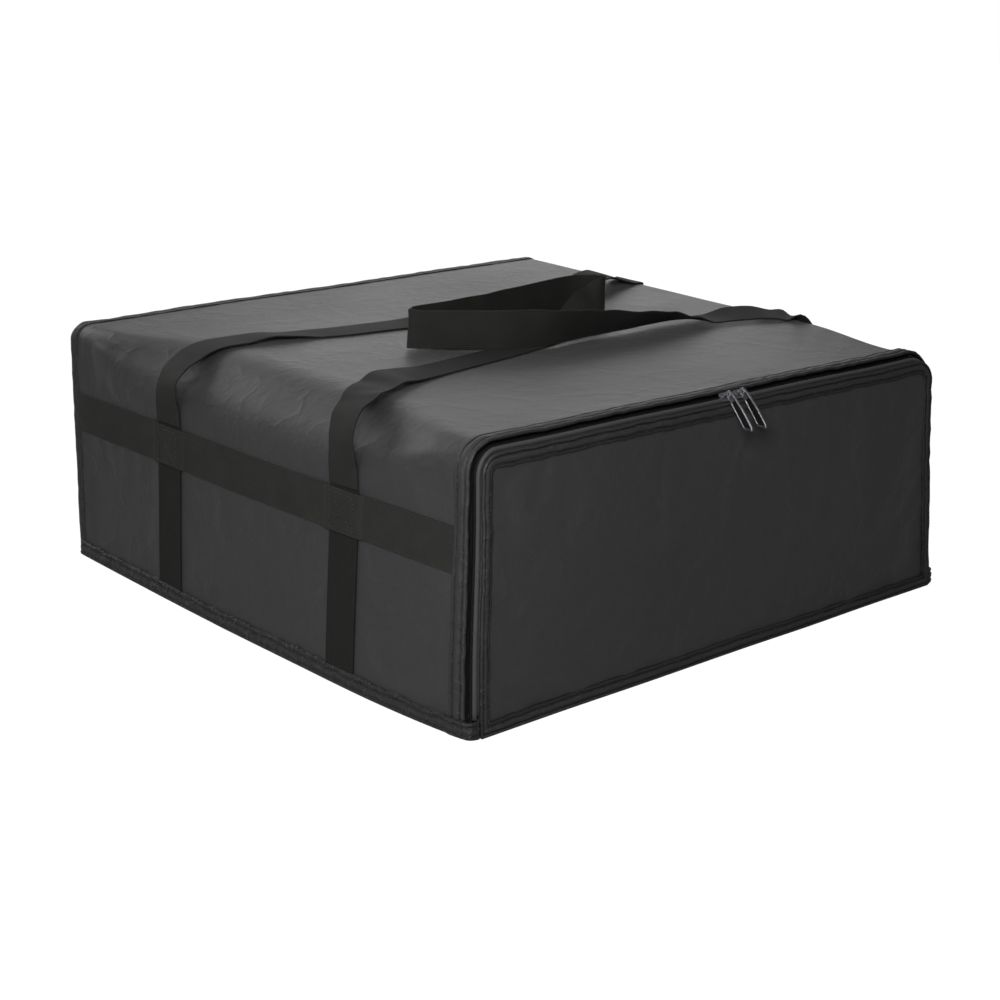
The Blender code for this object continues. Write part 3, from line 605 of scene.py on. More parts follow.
def new_material(name, roughness, metallic=0.0, sheen=0.0):
    """Start a material; return it with its tree, its shader and its coordinates."""
    material = bpy.data.materials.new(name)
    material.use_nodes = True
    tree = material.node_tree
    shader = tree.nodes["Principled BSDF"]
    shader.inputs["Roughness"].default_value = roughness
    shader.inputs["Metallic"].default_value = metallic
    shader.inputs["IOR"].default_value = 1.45
    shader.inputs["Sheen Weight"].default_value = sheen
    shader.inputs["Sheen Roughness"].default_value = 0.45
    return material, tree, shader, tree.nodes.new("ShaderNodeTexCoord")


def add_bump(tree, shader, height, distance, strength, under=None):
    """Raise the surface by a height; under is an earlier bump that this one lies on."""
    node = tree.nodes.new("ShaderNodeBump")
    node.inputs["Strength"].default_value = strength
    node.inputs["Distance"].default_value = distance
    wire(tree, height, node.inputs["Height"])
    if under:
        tree.links.new(under, node.inputs["Normal"])
    tree.links.new(node.outputs["Normal"], shader.inputs["Normal"])
    return node.outputs["Normal"]


def place_group(tree, name, vector, **values):
    """Put a shared node group in a material, with its own values."""
    node = tree.nodes.new("ShaderNodeGroup")
    node.node_tree = shared_group(name)
    tree.links.new(vector, node.inputs["Vector"])
    for key, value in values.items():
        node.inputs[key].default_value = value
    return node


def shaded(colour, factor):
    """A colour made lighter or darker, with its alpha."""
    return (*[min(1.0, channel * factor) for channel in colour], 1.0)


def cloth_material(name, colour, roughness, threads=1600.0, weave_depth=0.00008, crease_depth=0.0008,
                   sheen=0.08, crease_scale=26.0, grooves=(), gloss=0.5):
    """Woven cloth with a thin coat that keeps soft creases; grooves are its seams' places across it, where
    shade is painted.
    """
    material, tree, shader, coordinates = new_material(name, roughness, sheen=sheen)
    shader.inputs["Specular IOR Level"].default_value = gloss
    weave = place_group(tree, "plain_weave", coordinates.outputs["UV"], Threads=threads)
    crease = place_group(tree, "cloth_creases", coordinates.outputs["Object"], Scale=crease_scale)
    woven = mix_colour(tree, weave.outputs["Shade"], shaded(colour, 0.72), shaded(colour, 1.25))
    broad = mix_colour(tree, crease.outputs["Mottle"], shaded(colour, 0.70), shaded(colour, 1.30))
    plain = mix_colour(tree, 0.5, woven, broad)
    # Painted shade: the colour darkens to 0.06 of itself in each groove
    for place in grooves:
        seam = place_group(tree, "seam_shade", coordinates.outputs["UV"], Place=place)
        plain = mix_colour(tree, seam.outputs["Light"], shaded(colour, 0.06), plain)
    wire(tree, plain, shader.inputs["Base Color"])
    rough = math_node(tree, "ADD", roughness - 0.08,
                      math_node(tree, "MULTIPLY", crease.outputs["Mottle"], 0.16))
    wire(tree, rough, shader.inputs["Roughness"])
    under = add_bump(tree, shader, crease.outputs["Height"], crease_depth, 0.5)
    add_bump(tree, shader, weave.outputs["Height"], weave_depth, 0.7, under)
    return material


def webbing_material(name, colour):
    """Dull ribbed webbing."""
    material, tree, shader, coordinates = new_material(name, 0.72, sheen=0.02)
    shader.inputs["Specular IOR Level"].default_value = 0.25
    ribs = place_group(tree, "ribbed_webbing", coordinates.outputs["UV"])
    wire(tree, mix_colour(tree, ribs.outputs["Shade"], shaded(colour, 0.55), shaded(colour, 1.6)),
         shader.inputs["Base Color"])
    add_bump(tree, shader, ribs.outputs["Height"], 0.00025, 0.8)
    return material


def foil_material(name, colour):
    """Crinkled silver foil laminate."""
    material, tree, shader, coordinates = new_material(name, 0.26, metallic=0.92)
    crease = place_group(tree, "cloth_creases", coordinates.outputs["Object"], Scale=34.0)
    wire(tree, mix_colour(tree, crease.outputs["Mottle"], shaded(colour, 0.82), shaded(colour, 1.1)),
         shader.inputs["Base Color"])
    wire(tree, math_node(tree, "ADD", 0.18, math_node(tree, "MULTIPLY", crease.outputs["Mottle"], 0.2)),
         shader.inputs["Roughness"])
    add_bump(tree, shader, crease.outputs["Height"], 0.0012, 0.7)
    return material


def metal_material(name, colour, roughness):
    """Plated metal, rubbed a little brighter in patches."""
    material, tree, shader, coordinates = new_material(name, roughness, metallic=1.0)
    rubbed = noise_value(tree, coordinates.outputs["Object"], 420.0, 4.0)
    wire(tree, mix_colour(tree, rubbed, shaded(colour, 0.7), shaded(colour, 1.5)),
         shader.inputs["Base Color"])
    wire(tree, math_node(tree, "ADD", roughness - 0.1, math_node(tree, "MULTIPLY", rubbed, 0.2)),
         shader.inputs["Roughness"])
    grain = noise_value(tree, coordinates.outputs["Object"], 900.0, 2.0)
    add_bump(tree, shader, grain, 0.00003, 0.5)
    return material


def plastic_material(name, colour):
    """Dull nylon of the zip's coil and of the web in a pull."""
    material, tree, shader, coordinates = new_material(name, 0.45)
    grain = noise_value(tree, coordinates.outputs["Object"], 800.0, 2.0)
    wire(tree, mix_colour(tree, grain, shaded(colour, 0.8), shaded(colour, 1.3)), shader.inputs["Base Color"])
    add_bump(tree, shader, grain, 0.00004, 0.5)
    return material


def finish_of(name):
    """The named finish of the bag, made once from the bag's colours."""
    found = bpy.data.materials.get(name)
    if found:
        return found
    colours = bpy.context.scene.bag_colours
    hem_seams = strip_places(HEM_SECTION, HEM_GROOVES)
    border_seams = strip_places(BORDER_SECTION, BORDER_GROOVES)
    foot_seams = strip_places(FOOT_SECTION, FOOT_GROOVES)
    # Painted shadow: the bag's zip tape is coloured near black so that the slit reads as a deep shadowed gap
    painted_slit_shadow_colour = shaded(colours.zip_tape, 0.2)[:3]
    makers = {
        "cover_cloth_finish": lambda: cloth_material(name, colours.cloth, 0.46),
        "panel_finish": lambda: cloth_material(name, colours.cloth, 0.46, crease_depth=0.0022,
                                               crease_scale=15.0),
        "binding_finish": lambda: cloth_material(name, colours.binding, 0.60, 1300.0, 0.00012, 0.0009),
        "hem_finish": lambda: cloth_material(name, colours.binding, 0.52, 1300.0, 0.00012, 0.0012, 0.02,
                                             60.0, hem_seams),
        "border_finish": lambda: cloth_material(name, colours.binding, 0.52, 1300.0, 0.00012, 0.0012, 0.02,
                                                60.0, border_seams),
        "foot_finish": lambda: cloth_material(name, colours.edging, 0.50, 1300.0, 0.00015, 0.0020, 0.08,
                                              80.0, foot_seams),
        "edging_finish": lambda: cloth_material(name, colours.edging, 0.55, 1300.0, 0.00012, 0.0012, 0.08,
                                                60.0),
        "zip_tape_finish": lambda: cloth_material(name, colours.zip_tape, 0.62, 1900.0, 0.00012, 0.0002),
        "slit_shadow_finish": lambda: cloth_material(name, painted_slit_shadow_colour, 0.85, sheen=0.0, gloss=0.12),
        "thread_finish": lambda: cloth_material(name, colours.thread, 0.55, 3000.0, 0.00005, 0.0001),
        "webbing_finish": lambda: webbing_material(name, colours.webbing),
        "handle_sheen_finish": lambda: webbing_material(name, colours.handles),
        # Painted sheen: the bands take the handles' webbing painted 1.3 times lighter, for the sheen of their
        # crosswise ribs
        "band_sheen_finish": lambda: webbing_material(name, shaded(colours.handles, 1.3)[:3]),
        "foil_finish": lambda: foil_material(name, colours.foil),
        "slider_finish": lambda: metal_material(name, colours.metal, 0.34),
        "web_finish": lambda: plastic_material(name, shaded(colours.webbing, 0.5)[:3]),
        "coil_finish": lambda: plastic_material(name, colours.zip_tape),
    }
    return makers[name]()


# Cloth of the cover

def settle(piece, pinned, limit):
    """Let a sheet of cloth slump with a cloth simulation, within a limit for each point.

    Pinned gives the hold of each point from 0 to 1. Limit gives the least and greatest move along the
    point's normal.
    """
    scene = bpy.context.scene
    mesh = piece.data
    start = [vert.co.copy() for vert in mesh.vertices]
    normals = [vert.normal.copy() for vert in mesh.vertices]
    group = piece.vertex_groups.new(name="sewn")
    for index, place in enumerate(start):
        group.add([index], pinned(place), "REPLACE")
    cloth = piece.modifiers.new("Settle", "CLOTH")
    settings = cloth.settings
    settings.quality = 6
    settings.mass = 0.25
    settings.tension_stiffness = 40
    settings.compression_stiffness = 40
    settings.shear_stiffness = 20
    settings.bending_stiffness = 1.5
    settings.vertex_group_mass = "sewn"
    settings.shrink_min = -0.006
    settings.use_pressure = True
    settings.uniform_pressure_force = 1.5
    settings.effector_weights.gravity = 0.6
    for step in range(1, SETTLE_FRAMES + 1):
        scene.frame_set(step)
    ready = piece.evaluated_get(bpy.context.evaluated_depsgraph_get())
    moved = [vert.co.copy() for vert in ready.data.vertices]
    piece.modifiers.remove(cloth)
    piece.vertex_groups.remove(group)
    scene.frame_set(1)
    for vert, before, after, normal in zip(mesh.vertices, start, moved, normals):
        low, high = limit(before)
        vert.co = before + normal * min(max((after - before).dot(normal), low), high)
    mesh.update()


def near_webbing(place):
    """How much a point of the sides lies under a strap or band, from 0 to 1."""
    reach = WEBBING_WIDTH / 2
    held = 0.0
    if place.z < BAND_MIDDLE + reach:
        for y in STRAP_PLACES.values():
            held = max(held, 1.0 - smooth_share((abs(place.y - y) - reach) / HOLD_FADE))
    return max(held, 1.0 - smooth_share((abs(place.z - BAND_MIDDLE) - reach) / BAND_FADE))


def on_top(place):
    """How much a point lies on the top rather than on a side, from 0 to 1."""
    return smooth_share((place.z - HEIGHT + 40 * MM) / (36 * MM))


def wrap_hold(place):
    """Hold of the wrap's cloth along its sewn edges and under the webbing."""
    front = 1.0 - smooth_share((place.y - FRONT - SEWN_HEM) / HOLD_FADE)
    back = 1.0 - smooth_share((BACK - SEWN_EDGE - place.y) / HOLD_FADE)
    foot = 1.0 - smooth_share((place.z - SEWN_EDGE) / HOLD_FADE)
    return max(front, back, foot, near_webbing(place) * (1.0 - on_top(place)))


def wrap_limit(place):
    """Least and greatest move of the wrap's cloth, which does not rise on the top."""
    free = 1.0 - wrap_hold(place)
    return -WRAP_SINK * free, WRAP_RISE * (1.0 - on_top(place)) * free


def make_wrap_cloth():
    """Bent sheet of cover cloth over the left side, top and right side."""
    first, last = COVER_START, DEPTH - COVER_EDGE
    count = 64
    rows = []
    for step in range(count + 1):
        distance = first + (last - first) * step / count
        line = arch(CLOTH_WALL / 2, edge_radii(distance), COVER_EDGE)
        rows.append([Vector((x, FRONT + distance, z)) for x, z in line])
    piece = map_grid("wrap_cloth", rows, flip=True)
    settle(piece, wrap_hold, wrap_limit)
    give_wall(piece, CLOTH_WALL)
    soften(piece)
    dress(piece, finish_of("cover_cloth_finish"), "bag", ["wrap_cover"])


def soften(piece):
    """Finish a piece with a level of subdivision."""
    smooth = piece.modifiers.new("Smooth", "SUBSURF")
    smooth.levels = 1
    smooth.render_levels = 1


def panel_rows(inset, radii, low, place, bulge=0.0):
    """Rows from the foot to the top of an upright panel with rounded top corners and a pillowed face."""
    half = HALF_WIDTH - inset
    top = HEIGHT - inset
    across, up = 72, 30
    rows = []
    for j in range(up + 1):
        share_up = j / up
        row = []
        for k in range(across + 1):
            share = k / across * 2.0 - 1.0
            x = half * share
            z = low + (top - low) * share_up
            bend = max(radii[0 if x < 0 else 1] - inset, LEAST_ROUNDING)
            corner = abs(x) - (half - bend)
            if corner > 0:
                reach = top - bend + math.sqrt(max(bend * bend - corner * corner, 0.0))
                z = low + (reach - low) * share_up
            edge = min(half - abs(x), z - low, top - z)
            row.append(Vector((x, place - bulge * smooth_share(edge / (45 * MM)), z)))
        rows.append(row)
    return rows


def make_back_cloth():
    """Cover cloth of the back, between its bindings."""
    rows = panel_rows(CLOTH_WALL / 2, BACK_EDGE_RADII, COVER_EDGE, BACK - CLOTH_WALL / 2)
    piece = map_grid("back_cloth", rows, flip=True)

    def hold(place):
        edge = min(HALF_WIDTH - abs(place.x), place.z, HEIGHT - place.z)
        return 1.0 - smooth_share((edge - SEWN_EDGE) / HOLD_FADE)

    settle(piece, hold, lambda place: (-BACK_SINK * (1 - hold(place)), BACK_RISE * (1 - hold(place))))
    give_wall(piece, CLOTH_WALL)
    soften(piece)
    dress(piece, finish_of("cover_cloth_finish"), "bag", ["back_cover"])


def flat_rows(half, near, far, level, steps):
    """Rows of a level rectangle from the front to the back."""
    return [[Vector((half * (2.0 * k / steps - 1.0), near + (far - near) * j / steps, level))
             for k in range(steps + 1)] for j in range(steps + 1)]


def make_base_cloth():
    """Cover cloth under the base."""
    rows = flat_rows(HALF_WIDTH - 0.2 * MM, FRONT + 8.9 * MM, BACK - 0.2 * MM, CLOTH_WALL / 2, 48)
    piece = map_grid("base_cloth", rows)
    give_wall(piece, CLOTH_WALL, rounding=CLOTH_WALL / 3)
    dress(piece, finish_of("cover_cloth_finish"), "bag", ["base_cover"])


# Foil-lined padding

def crinkle(rows, outward):
    """Press crinkles into rows of a foil surface, away from the cabin."""
    for row in rows:
        for k, point in enumerate(row):
            direction = outward(point)
            row[k] = point + direction * -wrinkle(point, CRINKLE_PITCH, CRINKLE_DEPTH, 5.0)
    return rows


def make_wrap_padding():
    """Foam and foil lining of the left side, top and right side."""
    rows = []
    count = 60
    first, last = PADDING_START, DEPTH - PADDING_FOOT
    for step in range(count + 1):
        distance = first + (last - first) * step / count
        line = arch(PADDING_INSET, edge_radii(distance), PADDING_FOOT)
        rows.append([Vector((x, FRONT + distance, z)) for x, z in line])

    def outward(point):
        side = abs(point.x) - (HALF_WIDTH - 20 * MM)
        return Vector((math.copysign(1.0, point.x), 0, 0)) if side > 0 else Vector((0, 0, 1))

    piece = map_grid("wrap_padding", crinkle(rows, outward), flip=True)
    give_wall(piece, WALL_PADDING, offset=1.0, rounding=PADDING_ROUNDING)
    dress(piece, finish_of("foil_finish"), "bag", ["wrap_foam", "wrap_lining"])


def make_back_padding():
    """Foam and foil lining of the back."""
    rows = panel_rows(PADDING_FOOT, BACK_EDGE_RADII, PADDING_FOOT, BACK - PADDING_INSET)
    piece = map_grid("back_padding", crinkle(rows, lambda point: Vector((0, 1, 0))))
    give_wall(piece, WALL_PADDING, offset=-1.0, rounding=PADDING_ROUNDING)
    dress(piece, finish_of("foil_finish"), "bag", ["back_foam", "back_lining"])


def make_base_padding():
    """Foam and foil lining of the base."""
    rows = flat_rows(HALF_WIDTH - PADDING_FOOT, FRONT + PADDING_START, BACK - PADDING_FOOT, PADDING_INSET, 60)
    piece = map_grid("base_padding", crinkle(rows, lambda point: Vector((0, 0, -1))), soft=False)
    give_wall(piece, BASE_PADDING, offset=-1.0, rounding=PADDING_ROUNDING)
    dress(piece, finish_of("foil_finish"), "bag", ["base_foam", "base_lining"])


# Front panel

def panel_edge(place):
    """Distance of a point of the front panel's cloth inside its border."""
    return min(HALF_WIDTH - abs(place.x) - PANEL_SET, HEIGHT - place.z - PANEL_SET, place.z) - BORDER_WIDTH


def seam_pucker(place, inside, depth):
    """Gathers of cloth beside a seam, which fade away from it."""
    if inside <= 0.0:
        return 0.0
    fade = smooth_share(inside / (5 * MM)) * math.exp(-inside / (16 * MM))
    return depth * fade * noise.noise(place / (11 * MM))


def panel_hold(place):
    """Hold of the front panel's cloth along its sewn border."""
    return 1.0 - smooth_share(panel_edge(place) / (10 * MM))


def make_front_panel():
    """Cover cloth and padding of the front panel."""
    sizes = bpy.context.scene.bag_sizes
    rows = panel_rows(PANEL_SET, FRONT_EDGE_RADII, PANEL_CLOTH_FOOT, FRONT + CLOTH_WALL / 2, sizes.panel_bulge)
    for row in rows:
        for k, point in enumerate(row):
            free = 1.0 - panel_hold(point)
            slant = Vector((point.x - point.z * 0.75, 0.0, point.z * 0.30))
            high = smooth_share(point.z / HEIGHT) * smooth_share(1.2 - abs(point.x + 60 * MM) / (170 * MM))
            depth = sizes.panel_wrinkle * (0.25 + high)
            drape = free * (wrinkle(slant, 60 * MM, depth, 2.0) + wrinkle(slant, 26 * MM, depth * 0.35, 4.0))
            row[k] = point - Vector((0, drape + seam_pucker(point, panel_edge(point), sizes.pucker), 0))
    piece = map_grid("panel_cloth", rows)
    settle(piece, panel_hold,
           lambda place: (-PANEL_MOVE * (1 - panel_hold(place)), PANEL_MOVE * (1 - panel_hold(place))))
    give_wall(piece, CLOTH_WALL)
    soften(piece)
    dress(piece, finish_of("panel_finish"), "front_panel", ["flap_cover"])
    rows = panel_rows(PANEL_PADDING_INSET, FRONT_EDGE_RADII, PANEL_PADDING_FOOT, FRONT + PANEL_PADDING_DEPTH)
    pad = map_grid("panel_padding", crinkle(rows, lambda point: Vector((0, -1, 0))), flip=True)
    give_wall(pad, PANEL_PADDING, offset=-1.0, rounding=PADDING_ROUNDING)
    dress(pad, finish_of("foil_finish"), "front_panel", ["flap_foam", "flap_lining"])


def make_panel_border():
    """Stitched border strip round the front panel."""
    section = [(ZIP_SET + a * MM, -rise * MM, PANEL_FOOT + a * MM) for a, rise in BORDER_SECTION]
    rows = section_rows(section, BORDER_EDGE_RADII, closed=True, squeeze=BORDER_SQUEEZE)
    piece = map_grid("panel_border", rows, weld=True, uneven=0.8 * MM)
    give_wall(piece, STRIP_WALL)
    dress(piece, finish_of("border_finish"), "front_panel", ["flap_border"])


def make_hinge_fold():
    """Sewn bend of cloth in the inner corner, where the front panel folds down."""
    half = HALF_WIDTH - 10.5 * MM
    count = 40
    rows = [[Vector((half * (2.0 * k / count - 1.0), FRONT + distance * MM, up * MM))
             for distance, up in HINGE_SECTION] for k in range(count + 1)]
    piece = map_grid("hinge_fold", rows)
    give_wall(piece, STRIP_WALL)
    piece.data.materials.append(finish_of("binding_finish"))
    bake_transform(piece)
    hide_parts("hinge_tape")


# Strips along the edges

def make_hem_strip():
    """Folded hem strip round the mouth of the bag."""
    section = [(-rise * MM, ZIP_SET + a * MM, HEM_FOOT) for a, rise in HEM_SECTION]
    piece = map_grid("hem_strip", section_rows(section, FRONT_EDGE_RADII), flip=True, uneven=0.8 * MM)
    give_wall(piece, STRIP_WALL)
    dress(piece, finish_of("hem_finish"), "bag", ["rim_hem"])


def make_back_edging():
    """Binding folded round the back edge."""
    section = [(inset * MM, distance * MM, BACK_BINDING_FOOT) for inset, distance in BACK_SECTION]
    piece = map_grid("back_edging", section_rows(section, BACK_EDGE_RADII), flip=True, uneven=0.6 * MM)
    give_wall(piece, STRIP_WALL)
    dress(piece, finish_of("edging_finish"), "bag", ["back_binding"])


def foot_line(out):
    """Line round the foot of the left side, back and right side, a distance out from the cover.

    It starts and ends round the front corners, outside the hem and beside the front panel.
    """
    half, far = HALF_WIDTH + out, BACK + out
    corner = 4 * MM + out
    bend = 5 * MM
    cap = 1.0 * MM
    front = FRONT - out * 0.3
    points = [(-HALF_WIDTH + bend, front)]
    for step in range(5):
        turn = math.pi / 2 * step / 5
        points.append((-half - cap + bend * (1 - math.sin(turn)), front + bend * (1 - math.cos(turn))))
    for behind, share in ((9, 1.0), (15, 1.0), (18, 0.9), (20, 0.3)):
        points.append((-half - cap * share, FRONT + behind * MM))
    points += line_points((-half, FRONT + 22 * MM), (-half, far - corner), 80)
    for step in range(6):
        turn = math.pi / 2 * step / 6
        points.append((-half + corner - corner * math.cos(turn), far - corner + corner * math.sin(turn)))
    points += line_points((-half + corner, far), (0.0, far), 40)
    return points + [(0.0, far)] + [(-x, y) for x, y in reversed(points)]


def make_foot_edging():
    """Puckered binding along the foot of the sides and back."""
    lines = [foot_line(out * MM) for out, _ in FOOT_SECTION]
    rows = [[Vector((*line[j], up * MM)) for line, (_, up) in zip(lines, FOOT_SECTION)]
            for j in range(len(lines[0]))]
    piece = map_grid("foot_edging", rows, flip=True, uneven=1.4 * MM)
    give_wall(piece, STRIP_WALL)
    dress(piece, finish_of("foot_finish"), "bag", ["base_binding"])


# Zip

def bevel_point(across, out):
    """Inset and distance of a point beside the zip's slit, across the bevel and out from it."""
    root = math.sqrt(2)
    return SLIT_SET + (across - out) / root, SLIT_SET - (across + out) / root


def zip_section(body_side):
    """Section of one tape as (inset, distance, foot), from the slit to its tuck."""
    profile = BAG_TAPE_PROFILE if body_side else PANEL_TAPE_PROFILE
    points = [bevel_point(across * MM, out * MM) for across, out in profile]
    points += [(inset * MM, distance * MM) for inset, distance in TUCKED_TAPE]
    if body_side:
        return [(distance, inset, ZIP_FOOT) for inset, distance in points]
    return [(inset, distance, PANEL_TAPE_FOOT) for inset, distance in points]


def make_zip_tapes():
    """Both tapes of the zip."""
    for name, body_side, body, node in (("zip_tape_on_bag", True, "bag", "zip_tape_body"),
                                        ("zip_tape_on_panel", False, "front_panel", "zip_tape_flap")):
        rows = section_rows(zip_section(body_side), FRONT_EDGE_RADII)
        piece = map_grid(name, rows, flip=not body_side)
        give_wall(piece, TAPE_WALL)
        # The bag's tape takes the painted slit shadow; the panel's tape keeps the zip's own colour
        finish = "slit_shadow_finish" if body_side else "zip_tape_finish"
        dress(piece, finish_of(finish), body, [node])


def make_coils():
    """Coil of the zip on each tape: one continuous helix of nylon thread."""
    for name, side, body, node in (("zip_coil_on_bag", -1.0, "bag", "zip_coil_body"),
                                   ("zip_coil_on_panel", 1.0, "front_panel", "zip_coil_flap")):
        inset, distance = bevel_point(side * COIL_PLACE, -COIL_PLACE)
        line = [Vector((x, FRONT + distance, z)) for x, z in arch(inset, FRONT_EDGE_RADII, COIL_FOOT)]
        rows = []
        turn = 0.0
        for first, second in zip(line, line[1:]):
            step = second - first
            steps = max(1, round(step.length / COIL_PITCH * 7))
            along = step.normalized()
            forward = Vector((0, -1, 0))
            outward = along.cross(forward).normalized()
            if outward.dot(first - Vector((0, first.y, HEIGHT / 2))) < 0:
                outward = -outward
            normal = (outward + forward).normalized()
            across = (forward - outward).normalized()
            for k in range(steps):
                turn += 2 * math.pi * step.length / steps / COIL_PITCH
                centre = first + step * (k / steps) + across * math.cos(turn) * COIL_WIDTH
                centre += normal * math.sin(turn) * COIL_HEIGHT
                away = across * math.cos(turn) + normal * math.sin(turn)
                angles = [2 * math.pi * corner / 4 for corner in range(5)]
                rows.append([centre + along * math.cos(angle) * COIL_THREAD
                             + away * math.sin(angle) * COIL_THREAD for angle in angles])
        piece = map_grid(name, rows, weld=True)
        # The bag's coil takes the near-black web finish as painted shadow in the slit
        dress(piece, finish_of("coil_finish" if side > 0 else "web_finish"), body, [node])


def flat_tab(name, outlines, wall, rounding):
    """Flat piece cut from closed outlines, with rounded edges, lying in its own XY plane."""
    curve = bpy.data.curves.new(name, "CURVE")
    curve.dimensions = "2D"
    curve.fill_mode = "BOTH"
    curve.extrude = wall / 2 - rounding
    curve.bevel_depth = rounding
    curve.bevel_resolution = 2
    curve.offset = -rounding
    for outline in outlines:
        spline = curve.splines.new("POLY")
        spline.points.add(len(outline) - 1)
        for point, (across, up) in zip(spline.points, outline):
            point.co = (across, up, 0.0, 1.0)
        spline.use_cyclic_u = True
    item = bpy.data.objects.new(name, curve)
    bpy.context.scene.collection.objects.link(item)
    mesh = bpy.data.meshes.new_from_object(item.evaluated_get(bpy.context.evaluated_depsgraph_get()))
    bpy.data.objects.remove(item)
    bm = bmesh.new()
    bm.from_mesh(mesh)
    bmesh.ops.remove_doubles(bm, verts=bm.verts, dist=0.01 * MM)
    bpy.data.meshes.remove(mesh)
    return bm


def rounded_outline(corners, radius, steps=4):
    """Outline with each corner rounded by a radius."""
    points = []
    count = len(corners)
    for index, corner in enumerate(corners):
        here = Vector(corner)
        before = Vector(corners[index - 1]) - here
        after = Vector(corners[(index + 1) % count]) - here
        cut = min(radius, before.length * 0.45, after.length * 0.45)
        start, end = here + before.normalized() * cut, here + after.normalized() * cut
        for step in range(steps + 1):
            share = step / steps
            points.append((start * (1 - share) ** 2 + here * 2 * share * (1 - share) + end * share ** 2)[:])
    return points


def rounded_block(bm, size, centre, rounding, upright):
    """Add a block with rounded edges; upright, where it is not 0, rounds its upright edges more."""
    made = bmesh.ops.create_cube(bm, size=1.0)["verts"]
    bmesh.ops.scale(bm, vec=size, verts=made)
    edges = {edge for vert in made for edge in vert.link_edges}
    if upright:
        tall = [e for e in edges if abs((e.verts[0].co - e.verts[1].co).normalized().z) > 0.9]
        bmesh.ops.bevel(bm, geom=tall, offset=upright, segments=5, profile=0.5, affect="EDGES", material=-1)
        grow = [v for v in made if v.is_valid]
        seen = set(grow)
        while grow:
            vert = grow.pop()
            for edge in vert.link_edges:
                other = edge.other_vert(vert)
                if other not in seen:
                    seen.add(other)
                    grow.append(other)
        made = list(seen)
        edges = {edge for vert in made for edge in vert.link_edges
                 if abs((edge.verts[0].co - edge.verts[1].co).normalized().z) < 0.1
                 and abs(edge.calc_face_angle(0.0)) > 1.0}
    bevelled = bmesh.ops.bevel(bm, geom=list(edges), offset=rounding, segments=2, profile=0.5,
                               affect="EDGES", material=-1)
    moved = {vert for vert in [*made, *bevelled["verts"]] if vert.is_valid}
    bmesh.ops.translate(bm, vec=centre, verts=list(moved))


def make_sliders():
    """Both sliders with their crowns, and the pulls threaded on them."""
    for side, x in SLIDER_PLACES.items():
        place = Vector((x - SLIDER_SHIFT, FRONT + SLIT_SET, HEIGHT - SLIT_SET))
        tilt = Matrix.Rotation(math.pi / 4, 4, "X")
        bm = bmesh.new()
        for size, centre, rounding, upright in SLIDER_BLOCKS:
            rounded_block(bm, Vector([length * MM for length in size]), Vector([at * MM for at in centre]),
                          rounding * MM, upright * MM)
        bmesh.ops.transform(bm, matrix=Matrix.Translation(place) @ tilt, verts=bm.verts)
        piece = new_piece(f"{side}_slider_body", bm)
        piece.data.set_sharp_from_angle(angle=math.radians(40))
        dress(piece, finish_of("slider_finish"), f"{side}_slider", [f"{side}_slider"])
        make_pull_tab(side, place)


def make_pull_tab(side, place):
    """Framed tab with a thin web, threaded on the slider's crown and hanging over the front."""
    axis = place + Vector((0.0, -1.0, 1.0)).normalized() * CROWN_AXIS
    outline, slot, window, web_outline = (
        rounded_outline([(along * MM, across * MM) for along, across in corners], radius)
        for corners, radius in ((PULL_OUTLINE, 1.3 * MM), (PULL_SLOT, 0.5 * MM), (PULL_WINDOW, 0.8 * MM),
                                (PULL_WEB, 0.8 * MM)))
    tab = flat_tab("tab", [outline, slot, window], PULL_WALL, 0.35 * MM)
    web = flat_tab("web", [web_outline], PULL_WEB_WALL, 0.1 * MM)
    upright = Matrix.Rotation(-math.pi / 2, 4, "Z") @ Matrix.Rotation(math.pi / 2, 4, "X")
    turn = Matrix.Rotation(PULL_DROOP, 4, "X") @ upright
    for part, finish, shape in (("tab", "slider_finish", tab), ("web", "web_finish", web)):
        bmesh.ops.transform(shape, matrix=Matrix.Translation(axis) @ turn, verts=shape.verts)
        piece = new_piece(f"{side}_pull_{part}", shape)
        piece.data.set_sharp_from_angle(angle=math.radians(50))
        nodes = [f"{side}_pull"] if part == "tab" else ()
        dress(piece, finish_of(finish), f"{side}_pull", nodes)


# Webbing

def webbing_piece(name, rows, sign=1.0):
    """Webbing through rows of its two edges, a little arched across."""
    shares = (0.0, 0.03, 0.2, 0.5, 0.8, 0.97, 1.0)
    lines = []
    for index, (first, last) in enumerate(rows):
        ahead = rows[min(index + 1, len(rows) - 1)]
        behind = rows[max(index - 1, 0)]
        along = (ahead[0] + ahead[1] - behind[0] - behind[1]).normalized()
        normal = along.cross((last - first).normalized()) * sign
        lines.append([first.lerp(last, share) + normal * WEBBING_CROWN * math.sin(math.pi * share)
                      for share in shares])
    piece = map_grid(name, lines)
    give_wall(piece, WEBBING_SHEET, rounding=0.35 * MM)
    return piece


def eased_steps(steps, count=5):
    """More steps between the given ones, eased at both ends."""
    found = []
    for (start, out), (end, far) in zip(steps, steps[1:]):
        for k in range(count):
            share = k / count
            found.append((start + (end - start) * share, out + (far - out) * smooth_share(share)))
    found.append(steps[-1])
    return found


